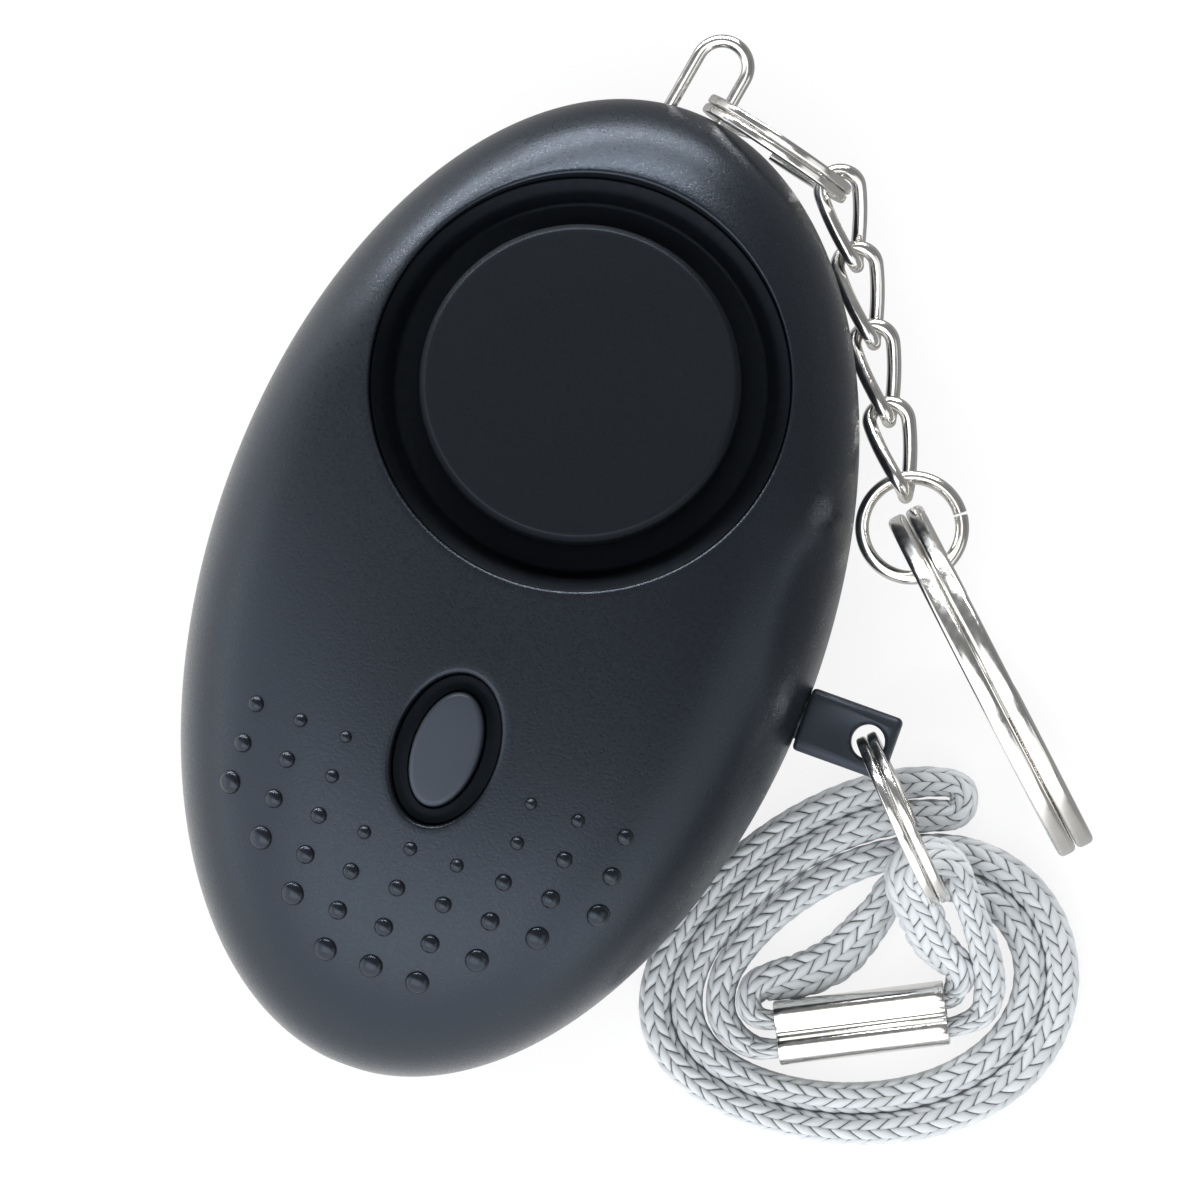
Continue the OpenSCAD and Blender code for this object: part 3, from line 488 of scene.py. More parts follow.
def polyester_braid(name, tone):
    """Polyester yarn, braided: soft flat strands with fine filaments, and painted shade darkening the gaps
    between them.
    """
    made, tree = material(name)
    height, tint = (node(tree, "ShaderNodeAttribute", attribute_name=label).outputs["Fac"]
                    for label in ("strand_height", "strand_tint"))
    across = node(tree, "ShaderNodeUVMap", uv_map="strand")
    # About eight bundles of filaments across a strand, coarser than the yarn's own so that they show
    lines = node(tree, "ShaderNodeTexWave", bands_direction="Y",
                 inputs={"Vector": across, "Scale": 2.6, "Distortion": 1.2, "Detail": 1.0})
    # Painted shade: the colour falls towards black at the low edges of each strand and on the core beneath,
    # where shade gathers
    base = node(tree, "ShaderNodeValToRGB", {"Fac": height},
                [(0.0, shade(tone, 0.16)), (0.12, shade(tone, 0.5)), (0.36, shade(tone, 0.88)), (0.8, tone)])
    # Each strand is a touch lighter or darker than the next
    varied = node(tree, "ShaderNodeHueSaturation", {"Color": base, "Value": tint})
    bump = node(tree, "ShaderNodeBump",
                {"Height": lines.outputs["Fac"], "Strength": 0.25, "Distance": 0.03 * MM})
    skin = node(tree, "ShaderNodeBsdfPrincipled",
                {"Base Color": varied, "Roughness": 0.72, "IOR": 1.5, "Sheen Weight": 0.25,
                 "Sheen Roughness": 0.4, "Normal": bump})
    node(tree, "ShaderNodeOutputMaterial", {"Surface": skin})
    return made


def clear_plastic(name, tone):
    """Polycarbonate, moulded and polished: clear, with a faint ripple."""
    made, tree = material(name)
    place = node(tree, "ShaderNodeTexCoord").outputs["Object"]
    ripple = node(tree, "ShaderNodeTexNoise", {"Vector": place, "Scale": per_mm(1.2), "Detail": 1.0})
    bump = node(tree, "ShaderNodeBump", {"Height": ripple, "Strength": 0.1, "Distance": 0.05 * MM})
    skin = node(tree, "ShaderNodeBsdfPrincipled",
                {"Base Color": tone, "Roughness": 0.06, "IOR": 1.58, "Transmission Weight": 0.9,
                 "Normal": bump})
    node(tree, "ShaderNodeOutputMaterial", {"Surface": skin})
    return made


# Maker, name and colour of each finish. Plastics go on with their roughness, the length and the depth of
# their grain, and for some their glints and their shine, metals with their roughness and rubbing marks
FINISHES = {
    "shell": (moulded_plastic, "moulded_abs_slate", "shell", 0.31, 0.18, 0.016, 0.45),
    "dots": (moulded_plastic, "polished_abs_slate", "shell", 0.24, 0.3, 0.002),
    "grille": (moulded_plastic, "matt_abs_black", "grille", 0.4, 0.4, 0.003, 0.0, 0.15),
    "cap": (moulded_plastic, "satin_abs_charcoal", "cap", 0.46, 0.12, 0.006, 0.0, 0.3),
    "button": (moulded_plastic, "satin_abs_button", "button", 0.42, 0.14, 0.006),
    # Black rubber seal, made near-black also as painted shade in the groove round the button
    "seal": (moulded_plastic, "silicone_rubber_black", "seal", 0.55, 0.2, 0.01, 0.0, 0.2),
    "pin": (moulded_plastic, "moulded_abs_black", "pin", 0.4, 0.18, 0.008),
    "nickel": (plated_metal, "nickel_plated_steel", "nickel"),
    "screw": (plated_metal, "zinc_plated_steel", "#9a9da1", 0.28, 0.3),
    "braid": (polyester_braid, "polyester_braid_grey", "braid"),
    "lens": (clear_plastic, "polycarbonate_clear", "#eef4f8"),
    "led": (clear_plastic, "led_epoxy_clear", "#f6f3d8"),
    "inner": (moulded_plastic, "moulded_abs_grey", "#3a3d42", 0.5, 0.3, 0.01),
    "plunger": (moulded_plastic, "acetal_ivory", "#c9c4b4", 0.4, 0.3, 0.004),
    "chip": (moulded_plastic, "epoxy_resin_black", "#17181a", 0.6, 0.1, 0.008),
    "brass": (plated_metal, "brass_sheet", "#c9a24a", 0.25, 0.8),
    "ceramic": (moulded_plastic, "piezo_ceramic_silvered", "#dcdcd4", 0.45, 0.1, 0.003),
    "red_wire": (moulded_plastic, "pvc_wire_red", "#b8322b", 0.4, 0.5, 0.003),
    "black_wire": (moulded_plastic, "pvc_wire_black", "#1b1b1d", 0.4, 0.5, 0.003),
    "board": (moulded_plastic, "glass_epoxy_green", "#1f5c3a", 0.35, 0.25, 0.006),
    "ferrite": (moulded_plastic, "ferrite_dark", "#4a3a30", 0.6, 0.15, 0.01),
    "component": (moulded_plastic, "component_ceramic_tan", "#b9a27c", 0.5, 0.2, 0.004),
    "cell": (plated_metal, "cell_can_steel", "#c3c5c8", 0.22, 0.6),
}
MADE = {}


def finish(name):
    """The material of that finish, made once."""
    if name not in MADE:
        maker, label, tone, *rest = FINISHES[name]
        chosen = srgb(tone) if tone[0] == "#" else tuple(getattr(bpy.context.scene.alarm_colours, tone))
        MADE[name] = maker(label, chosen, *rest)
    return MADE[name]


# Body


def egg(half_l, half_w, z, share=1.0):
    """A ring of points on the body's outline, scaled by a share, at a height over the parting line."""
    t = circle(AROUND)
    x, y = share * half_w * np.cos(t) * (1 + TAPER * np.sin(t)), share * half_l * np.sin(t)
    return np.column_stack([x, y, np.full(AROUND, PART_Z + z)])


def dome_height(x, y, half_l, half_w, height, power):
    """Height of a dome over points inside its outline."""
    share = np.hypot(x / half_w, y / half_l)
    for _ in range(4):
        lean = y / half_l / np.maximum(share, 1e-6)
        share = np.hypot(x / (half_w * (1 + TAPER * lean)), y / half_l)
    return height * (1 - np.minimum(share, 1.0) ** power) ** (1 / power)


def dome_rings(half_l, height, power, count):
    """Shares of the outline and heights of rings that lie evenly from the rim to the crown."""
    a = np.radians(np.linspace(0, 90, 6000))
    share, z = np.cos(a) ** (2 / power), np.sin(a) ** (2 / power) * height
    run = np.concatenate([[0], np.cumsum(np.hypot(np.diff(share) * half_l, np.diff(z)))])
    at = np.linspace(0, run[-1], count)
    return np.interp(at, run, share), np.interp(at, run, z)


def rounding(radius, steps=6):
    """Distance from an edge and drop below the face, from the edge's wall to the face."""
    t = np.linspace(0, np.pi / 2, steps)
    return list(zip(radius * (1 - np.cos(t)), radius * (1 - np.sin(t))))


class Skin:
    """One dome of the front shell over its outline, with the pocket and the recess left open."""

    hole_points = 200
    # Share of the outline beyond which the side is steep, and the room kept free round the holes
    steep, pocket_room, recess_room = 0.945, 2.3, 1.9

    def __init__(self, half_l, half_w, height, steps, rings):
        self.shape = (half_l, half_w, height, FRONT_POWER)
        self.points, self.loops, self.sides, self.count = [], {}, [], 0
        for name, edge in (("pocket", self.pocket), ("recess", self.recess)):
            self.loops[name] = np.arange(self.count, self.count + self.hole_points)
            for out, drop in steps:
                self.take(edge(out, drop))
        shares, heights = dome_rings(half_l, height, FRONT_POWER, rings)
        for share, z in zip(shares[:-1], heights[:-1]):
            ring = egg(half_l, half_w, z, share)
            if share <= self.steep:
                self.take(ring[self.clear(ring)])
                continue
            # The steep side is built ring on ring
            loop = np.arange(self.count, self.count + AROUND)
            if "rim" in self.loops:
                self.sides += strip(self.loops["shoulder"], loop)
            else:
                self.loops["rim"] = loop
            self.loops["shoulder"] = loop
            self.take(ring)

    def take(self, points):
        self.points.append(points)
        self.count += len(points)

    def top(self, x, y):
        return PART_Z + dome_height(x, y, *self.shape)

    def pocket(self, out, drop):
        """The speaker pocket's edge, set out from its wall and dropped below the face."""
        edge, depth = oval(POCKET_R + out, POCKET_R + out, self.hole_points), np.zeros(self.hole_points)
        for _ in range(20):
            found = at_speaker(lifted(edge, depth))
            depth += self.top(found[:, 0], found[:, 1]) - drop - found[:, 2]
        return found

    def recess(self, out, drop):
        """The button recess's edge."""
        x, y = oval(RECESS_W + out, RECESS_L + out, self.hole_points, 0, BUTTON_Y).T
        return np.column_stack([x, y, self.top(x, y) - drop])

    def clear(self, points):
        """Which points lie away from the holes."""
        c, s = math.cos(SPEAKER_TILT), math.sin(SPEAKER_TILT)
        x, y, z = points[:, 0], points[:, 1] - SPEAKER_Y, points[:, 2] - SPEAKER_Z
        from_pocket = np.hypot(x, c * y - s * z) - POCKET_R
        from_recess = np.hypot(x / RECESS_W, (points[:, 1] - BUTTON_Y) / RECESS_L) * RECESS_W - RECESS_W
        return (from_pocket > self.pocket_room) & (from_recess > self.recess_room)

    def faces(self):
        """The steep side, and triangles over the crown without those that span a hole."""
        points = np.concatenate(self.points)
        crown = np.r_[0:self.loops["rim"][0], self.loops["shoulder"][0]:self.count]
        number = {int(i): k for k, i in enumerate(crown)}
        edges = []
        for name in ("shoulder", "pocket", "recess"):
            loop = [number[int(i)] for i in self.loops[name]]
            edges += list(zip(loop, loop[1:] + loop[:1]))
        flat = [Vector(p) for p in points[crown, :2]]
        _, _, faces, source, _, _ = delaunay_2d_cdt(flat, edges, [], 0, 1e-9)
        holes = [set(self.loops[name].tolist()) for name in ("pocket", "recess")]
        kept = list(self.sides)
        for face in faces:
            corners = [int(crown[source[i][0]]) for i in face]
            if not any(hole.issuperset(corners) for hole in holes):
                kept.append(corners)
        return points, kept


def seam_cutters():
    """Holes on the parting line for the pin, the bail's legs and the torch lens."""
    left, right = (on_bail([(x, 27.5), (x, 33.3)]) for x in (-BAIL_HALF, BAIL_HALF))
    return [rod("cut_pin", (14.2, PIN_Y, PART_Z), (22.0, PIN_Y, PART_Z), 2.9),
            rod("cut_bail_left", *left, 0.92), rod("cut_bail_right", *right, 0.92),
            rod("cut_lens", (0, -32.0, PART_Z), (0, -27.8, PART_Z), 4.5)]


class ALARM_OT_front_shell(bpy.types.Operator):
    """Build the front shell with its speaker pocket, button recess and grip dots"""

    bl_idname = "alarm.front_shell"
    bl_label = "Front Shell"

    def execute(self, context):
        sizes = context.scene.alarm_sizes
        half_l, half_w, height = mm(sizes.body_l) / 2, mm(sizes.body_w) / 2, mm(sizes.front_h)
        edge, seam = mm(sizes.edge_round), mm(sizes.seam_round)
        lips = rounding(edge) + [(edge + d, 0.0) for d in (0.35, 0.8, 1.4)]
        outer = Skin(half_l, half_w, height, lips, 56)
        inner = Skin(half_l - WALL, half_w - WALL, height - WALL, [(0.0, 0.0)], 20)
        points, faces = outer.faces()
        inside, inside_faces = inner.faces()
        shift = len(points)
        faces += [[shift + i for i in reversed(f)] for f in inside_faces]
        # Rounded rim along the seam, lifted so that the two shells leave a fine groove
        points[outer.loops["rim"], 2] = PART_Z + seam
        rows, last, count = [points, inside], outer.loops["rim"], shift + len(inside)
        for inset, drop in rounding(seam)[1:]:
            rows.append(egg(half_l - inset, half_w - inset, drop))
            loop = np.arange(count, count + AROUND)
            count += AROUND
            faces += strip(last, loop)
            last = loop
        faces += strip(last, shift + inner.loops["rim"])
        for name in ("pocket", "recess"):
            faces += strip(outer.loops[name], shift + inner.loops[name])
        shell = outward(new_object("front_shell_skin", np.concatenate(rows), faces))
        dress(cut(shell, *seam_cutters()), "shell", "case", "shell_plastic", "front_shell")
        self.dots(outer.shape, mm(sizes.dot_h))
        return {"FINISHED"}

    def dots(self, shape, dot_h):
        """Domes on the crown, each square to the face under it."""
        places, turns, scales = [], [], []
        step = 0.05
        for c in range(1 - len(DOT_COLUMNS), len(DOT_COLUMNS)):
            first, count = DOT_COLUMNS[abs(c)]
            for i, d in enumerate(DOT_DIAMETERS[:count]):
                x, y = c * DOT_PITCH_X, DOT_Y + (first + i) * DOT_PITCH_Y
                near = np.array([(x, y), (x + step, y), (x, y + step)])
                z, beside, beyond = dome_height(*near.T, *shape)
                facing = Vector(((z - beside) / step, (z - beyond) / step, 1))
                places.append((x, y, PART_Z + z))
                turns.append(facing.to_track_quat("Z", "Y").to_euler())
                scales.append((d / 2, d / 2, dot_h * (0.75 + 0.25 * d / DOT_DIAMETERS[0])))
        profile = [(math.cos(a), math.sin(a)) for a in np.linspace(math.pi / 2, 0, 9)]
        pip = lathe("dot_shape", profile + [(0.9, -0.4), (0, -0.4)], upright(0, 0), 32)
        dress(copies("grip_dots", pip, places, turns, scales, "dots"), "dots", "case", "shell_plastic")


class ALARM_OT_rear_shell(bpy.types.Operator):
    """Build the rear shell with its flat back, screw wells and inner posts"""

    bl_idname = "alarm.rear_shell"
    bl_label = "Rear Shell"

    def execute(self, context):
        sizes = context.scene.alarm_sizes
        half_l, half_w, seam = mm(sizes.body_l) / 2, mm(sizes.body_w) / 2, mm(sizes.seam_round)
        rows, crown = [], 0.002
        # Outer dome from the seam down to the flat back, with a soft edge round the flat
        for t in np.linspace(0, np.pi / 2, 6)[:-1]:
            inset, drop = seam * (1 - math.sin(t)), seam * (1 - math.cos(t))
            rows.append(egg(half_l - inset, half_w - inset, -drop))
        flat, soft = PART_Z - 0.02, 0.12
        for share, depth in zip(*dome_rings(half_l, REAR_DOME, REAR_POWER, 64)):
            depth = max(depth, seam)
            depth -= soft * math.log1p(math.exp((depth - flat) / soft))
            rows.append(egg(half_l, half_w, -depth, max(share, crown)))
        turn = len(rows) * AROUND
        # Inner dome, back up to the seam
        shares, depths = dome_rings(half_l - WALL, REAR_DOME - WALL, REAR_POWER, 28)
        for share, depth in zip(shares[::-1], depths[::-1]):
            rows.append(egg(half_l - WALL, half_w - WALL, -depth, max(share, crown)))
        faces = loft_faces(turn // AROUND, AROUND)
        faces += [[i + turn for i in f] for f in loft_faces(len(shares), AROUND)]
        faces += strip(np.arange(AROUND) + (len(rows) - 1) * AROUND, np.arange(AROUND))
        faces += [list(range(turn - AROUND, turn)), list(range(turn, turn + AROUND))[::-1]]
        shell = outward(new_object("rear_shell_skin", np.concatenate(rows), faces))
        well = rounded([(0, -2), (2.6, -2), (2.6, 1.2), (2.0, 2.0), (2.0, SCREW_SEAT), (0, SCREW_SEAT)],
                       0.05)
        cut(shell, *[lathe("cut_well", well, upright(x, y)) for x, y in SCREWS], *seam_cutters())
        join(shell, *[self.post(x, y, half_l, half_w) for x, y in SCREWS])
        dress(shell, "shell", "case", "shell_plastic", "rear_shell")
        return {"FINISHED"}

    def post(self, x, y, half_l, half_w):
        """A boss with the screw well's floor, standing on the inside of the wall."""
        around, wide, bore, sunk, floor = 48, 3.2, 2.03, WALL / 2, SCREW_SEAT + 0.01
        foot = PART_Z - dome_height(*oval(wide, wide, around, x, y).T, half_l - sunk, half_w - sunk,
                                    REAR_DOME - sunk, REAR_POWER)
        steps = ((bore, foot), (wide, foot), (wide, 8.9), (2.6, 9.2), (2.6, 9.95), (1.05, 9.95),
                 (1.05, floor), (bore, floor))
        return loft("post", [lifted(oval(r, r, around, x, y), z) for r, z in steps], True)


class ALARM_OT_screws(bpy.types.Operator):
    """Set the two shell screws in their wells"""

    bl_idname = "alarm.screws"
    bl_label = "Shell Screws"

    def execute(self, context):
        profile = rounded([(0, -1.5), (1.45, -1.5), (1.9, -1.1), (1.9, -0.05), (1.0, -0.05), (1.0, 10.6),
                           (0, 10.8)], 0.2)
        screw = lathe("screw_shape", profile, upright(0, 0), 64)
        for l, w in ((0.26, 1.1), (1.1, 0.26)):
            corners = np.array([(l, w), (-l, w), (-l, -w), (l, -w)])
            cut(screw, loft("cut_cross", [lifted(corners, -1.7), lifted(corners * 0.7, -0.75)]))
        places = [(x, y, SCREW_SEAT) for x, y in SCREWS]
        turns = [(0, 0, math.radians(a)) for a in (18, 52)]
        screws = copies("shell_screw_pair", screw, places, turns, [(1, 1, 1)] * 2, "screw")
        dress(screws, "screw", "case", "screw_steel", "shell_screws")
        return {"FINISHED"}


class ALARM_OT_speaker(bpy.types.Operator):
    """Build the speaker's slotted ring and its round cap"""

    bl_idname = "alarm.speaker"
    bl_label = "Speaker"

    def execute(self, context):
        profile = rounded([(0, -1.63), (6.0, -1.63), (6.0, -2.2), (6.3, -2.2), (9.5, -2.2), (11.2, -2.15),
                           (11.9, -1.5), (12.65, -1.0), (12.65, -3.2), (0, -3.2)], 0.2)
        ring = lathe("speaker_ring_body", profile, at_speaker, AROUND)
        # Sound slots under the cap, cut from one shape set round the axis
        section = ((6.6, -4.0), (9.3, -4.0), (9.3, -1.9), (6.6, -1.9))
        slot = loft("slot_shape", [[(r * math.cos(a), r * math.sin(a), z) for r, z in section]
                                   for a in np.radians(np.linspace(0, 18, 10))])
        tilt, spins = Matrix.Rotation(-SPEAKER_TILT, 3, "X"), np.radians(np.arange(0, 360, 30))
        turns = [(tilt @ Matrix.Rotation(a, 3, "Z")).to_euler() for a in spins]
        centres = np.repeat(at_speaker([(0, 0, 0)]), len(spins), 0)
        cut(ring, outward(copies("cut_slots", slot, centres, turns, [(1, 1, 1)] * len(spins), "grille")))
        dress(ring, "grille", "case", "grille_plastic", "speaker_ring")
        face = [(0, 0.0), (5.0, -0.004), (9.0, -0.01)]
        rim = rounded([(9.0, -0.01), (9.32, -0.02), (9.68, -0.42), (9.7, -1.45), (9.6, -1.6), (0, -1.6)],
                      0.09, 4)
        cap = lathe("speaker_cap_disc", face + rim[1:], at_speaker, AROUND)
        dress(cap, "cap", "case", "cap_plastic", "speaker_cap", crisp=30)
        return {"FINISHED"}


def ovals(name, steps, loop=False):
    """A skin over ovals round the button, from half length, half width and height."""
    return loft(name, [lifted(oval(w, l, 160, 0, BUTTON_Y), z) for l, w, z in steps], loop)


class ALARM_OT_button(bpy.types.Operator):
    """Build the torch button and the rubber seal round it"""

    bl_idname = "alarm.button"
    bl_label = "Torch Button"

    def execute(self, context):
        l, w, edge, crown, stem = BUTTON_L, BUTTON_W, 0.34, 0.05, 1.6
        flange = SEAL_TOP - 1.6
        steps = [(stem, stem, 15.35), (stem, stem, flange - 1.0)]
        steps += [(l + out, w + out, flange + z)
                  for out, z in ((0.75, -1.0), (0.8, -0.9), (0.8, -0.1), (0.7, 0), (0, 0))]
        steps += [(l - inset, w - inset, BUTTON_TOP - crown - drop) for inset, drop in rounding(edge, 8)]
        # Slightly crowned face
        steps += [((l - edge) * share, (w - edge) * share, BUTTON_TOP - crown * share ** 2)
                  for share in (0.8, 0.6, 0.4, 0.2, 0.02)]
        dress(ovals("torch_button_cap", steps), "button", "button", "button_plastic", "torch_button")
        outer_l, outer_w, hole_l, hole_w, low = 4.63, 3.08, 3.67, 2.12, SEAL_TOP - 1.45
        # Lip, valley and lip across the seal's top
        crest = [(0, -0.05), (0.06, 0.0), (0.2, -0.01), (0.4, -0.05)]
        rows = [(outer_l + f * (hole_l - outer_l), outer_w + f * (hole_w - outer_w), SEAL_TOP + z)
                for f, z in crest + [(1 - f, z) for f, z in reversed(crest)]]
        rows = [(outer_l, outer_w, low), *rows, (hole_l, hole_w, low)]
        # The seal's black floor in the groove round the button is partly painted shade
        dress(ovals("button_seal_ring", rows, True), "seal", "case", "seal_rubber", "button_seal")
        return {"FINISHED"}


class ALARM_OT_pull_pin(bpy.types.Operator):
    """Build the pull pin with its head, its eye and its shank"""

    bl_idname = "alarm.pull_pin"
    bl_label = "Pull Pin"

    def execute(self, context):
        half_w, half_t, corner, head_l, lip = 2.0, 1.6, 0.55, 5.8, 0.25
        t = circle(96)
        c, s = np.cos(t), np.sin(t)

        def across(x, y, z):
            return np.column_stack([np.full(len(t), PIN_X + x), PIN_Y + y, PART_Z + z])

        def section(x, inset):
            """A rounded oblong across the pin's head."""
            r = max(corner - inset, 0.1)
            return across(x, np.clip(c * 4, -1, 1) * (half_w - inset - r) + r * c,
                          np.clip(s * 4, -1, 1) * (half_t - inset - r) + r * s)

        shank = ((-6.0, 0.3), (-5.95, 0.5), (-4.1, 1.28), (-3.9, 1.35), (-0.05, 1.35))
        rows = [across(x, r * c, r * s) for x, r in shank]
        rows += [section(x, lip - d) for x, d in ((0.0, 0.0), (0.03, 0.1), (0.1, 0.2), (0.25, 0.25))]
        rows += [section(head_l - drop, inset) for inset, drop in rounding(0.35)]
        flare = [(1.05, 1.25), (1.12, 1.46), (1.34, 1.6), (1.6, 1.75), (1.6, 3), (0, 3)]
        hole = lathe("cut_eye", [(r, -z) for r, z in reversed(flare)] + flare, lambda p: p + EYE, 64)
        dress(cut(loft("pull_pin_head", rows), hole), "pin", "pin", "pin_plastic", "pull_pin")
        return {"FINISHED"}


# Rings and chain


def flat_dir(degrees):
    a = math.radians(degrees)
    return np.array([math.cos(a), math.sin(a), 0.0])


def ease(f):
    f = np.clip(f, 0, 1)
    return f * f * (3 - 2 * f)


# Headings on the floor, in degrees
TOP_TURN, PIN_RING_TURN, KEY_TURN, CHAIN_TURN = -14, -46, -43, -58
TOP_DIR, PIN_RING_DIR, KEY_DIR = flat_dir(TOP_TURN), flat_dir(PIN_RING_TURN), flat_dir(KEY_TURN)
BAIL_LEG = np.array([BAIL_HALF * math.cos(BAIL_LEAN) + 2.7 * math.sin(-BAIL_LEAN),
                     31.9 - BAIL_HALF * math.sin(-BAIL_LEAN), PART_Z - 1])
TOP_CENTRE = BAIL_LEG + (math.sqrt(4.4 ** 2 - 1) - 0.5) * TOP_DIR
LINK_TURNS, LINK_RISES = (-58, -58, -59, -58), (-14, -4, 4, 12)
LINK_TWIST, LINK_L, LINK_W, LINK_PITCH = -90, 6.9, 3.4, 4.9


def link_dir(i):
    rise = math.radians(LINK_RISES[i])
    return math.cos(rise) * flat_dir(LINK_TURNS[i]) + math.sin(rise) * UP


def chain_joints():
    """Places where each link hooks into the next, from the top ring to the jump ring."""
    start_z = PART_Z - 2.4
    reach = math.sqrt(4.8 ** 2 - (TOP_CENTRE[2] - start_z) ** 2)
    places = [np.array([*TOP_CENTRE[:2], start_z]) + reach * TOP_DIR - 0.75 * flat_dir(CHAIN_TURN)]
    for i in range(len(LINK_TURNS)):
        places.append(places[-1] + LINK_PITCH * link_dir(i))
    return places


JOINTS = chain_joints()
JUMP_D = 7.0
JUMP_CENTRE = JOINTS[4] + (JUMP_D / 2 - 0.425 - 0.55) * flat_dir(CHAIN_TURN)
KEY_Z = 12.2
KEY_CENTRE = (np.array([*JUMP_CENTRE[:2], KEY_Z])
              + (1.1 + math.sqrt(10.65 ** 2 - (KEY_Z - JUMP_CENTRE[2]) ** 2)) * KEY_DIR)
PIN_RING_CENTRE = EYE + 5.2 * PIN_RING_DIR
# Name, centre, heading, diameter, band, thickness and start of each split ring, its body and its node
SPLIT_RINGS = (("top_split_ring", TOP_CENTRE, TOP_TURN, 10.4, 0.8, 0.58, 120, "upper_ring", "top_ring"),
               ("pin_split_ring", PIN_RING_CENTRE, PIN_RING_TURN, 11.3, 0.9, 0.63, 60, "strap", "pin_ring"),
               ("key_split_ring", KEY_CENTRE, KEY_TURN, 23.0, 1.7, 1.13, 100, "keys_ring", "key_ring"))


def split_ring(name, centre, heading, d, band, t, start):
    """Two turns of flat wire with softened edges that step from one layer to the other."""
    ahead, axis = flat_dir(heading), flat_dir(heading + 90)
    a = np.arange(24, 697, 3.0)
    rad = np.radians(a + start)
    layer = (t + 0.06) * (0.5 - ease((a - 342) / 36))
    spoke = np.cos(rad)[:, None] * ahead + np.sin(rad)[:, None] * np.cross(axis, ahead)
    path = centre + (d / 2 - band / 2) * spoke + layer[:, None] * axis
    edge = t * 0.3
    section = []
    for cx, cy, first in ((1, 1, 0), (-1, 1, 90), (-1, -1, 180), (1, -1, 270)):
        for g in np.radians(first + np.linspace(0, 90, 5)):
            section.append((cx * (band / 2 - edge) + edge * math.cos(g),
                            cy * (t / 2 - edge) + edge * math.sin(g)))
    return loft(name, [p + np.array([x * s + y * axis for x, y in section]) for p, s in zip(path, spoke)])


class ALARM_OT_split_rings(bpy.types.Operator):
    """Build the top ring, the pin ring and the key ring"""

    bl_idname = "alarm.split_rings"
    bl_label = "Split Rings"

    def execute(self, context):
        for *shape, body, each in SPLIT_RINGS:
            dress(split_ring(*shape), "nickel", body, "nickel_plate", each)
        return {"FINISHED"}


class ALARM_OT_chain(bpy.types.Operator):
    """Bend the bail, the four twisted links and the jump ring from round wire"""

    bl_idname = "alarm.chain"
    bl_label = "Bail and Chain"

    def execute(self, context):
        sizes = context.scene.alarm_sizes
        link_wire, jump_wire, bail_wire = mm(sizes.link_wire), mm(sizes.jump_wire), mm(sizes.bail_wire)
        made = [(wire(f"twisted_link_{i}", self.link(i - 1, link_wire), link_wire, True), f"link_{i}",
                 f"chain_link_{i}") for i in range(1, len(LINK_TURNS) + 1)]
        a = np.radians(np.linspace(36.5, 393.5, 120))
        r = JUMP_D / 2 - jump_wire / 2
        ring = JUMP_CENTRE + np.column_stack([r * np.cos(a), r * np.sin(a), 0 * a])
        made.append((wire("jump_ring_wire", ring, jump_wire), "joining_ring", "jump_ring"))
        made.append((wire("bail_wire", self.bail(), bail_wire), "case", "bail"))
        for piece, body, each in made:
            dress(piece, "nickel", body, "nickel_plate", each, crisp=50)
        return {"FINISHED"}

    def link(self, i, thick):
        """An oblong link that twists along its length."""
        l, w = LINK_L - thick, LINK_W - thick
        straight = l / 2 - w / 2
        a = np.radians(np.linspace(-90, 90, 31))
        run = np.linspace(straight, -straight, 14)[1:-1]
        half = np.concatenate([np.column_stack([straight + w / 2 * np.cos(a), w / 2 * np.sin(a)]),
                               np.column_stack([run, np.full(len(run), w / 2)])])
        flat = np.concatenate([half, -half])
        ahead, across = link_dir(i), flat_dir(LINK_TURNS[i] + 90)
        twist = np.radians(LINK_TWIST * (0.5 + flat[:, 0] / l))
        out = np.cos(twist)[:, None] * across + np.sin(twist)[:, None] * np.cross(ahead, across)
        return (JOINTS[i] + JOINTS[i + 1]) / 2 + flat[:, :1] * ahead + flat[:, 1:] * out

    def bail(self):
        """A loop of wire with its feet bent outwards in the case."""
        top = 36.3 - 0.4 - BAIL_HALF
        bend = np.radians(np.linspace(0, 90, 8))
        foot = [(2.6, 27.5)] + [(2.0 - 0.4 * math.sin(b), 27.9 - 0.4 * math.cos(b)) for b in bend]
        right = foot + [(BAIL_HALF, y) for y in np.linspace(28.3, top - 0.3, 8)]
        arc = [(BAIL_HALF * math.cos(x), top + BAIL_HALF * math.sin(x))
               for x in np.radians(np.linspace(0, 180, 41))]
        return on_bail(right + arc + [(-x, y) for x, y in reversed(right)])


# Wrist strap

CRIMP = np.array([EYE[0] + 5.3, EYE[1] - 16.6, 2.05])
CRIMP_ALONG, CRIMP_ACROSS = flat_dir(27), flat_dir(117)
CRIMP_L, CRIMP_HALF_W, CRIMP_HALF_H, CRIMP_WALL, LANE = 10.6, 2.0, 2.05, 0.36, 0.9
COIL = np.array([EYE[0] + 5.1, EYE[1] - 13.9, 1.65])
COIL_LONG, COIL_SHORT, COIL_EGG, COIL_GROW, STRAND_PITCH = 9.4, 5.9, 0.17, 4.1, 2.0
COIL_END = -300
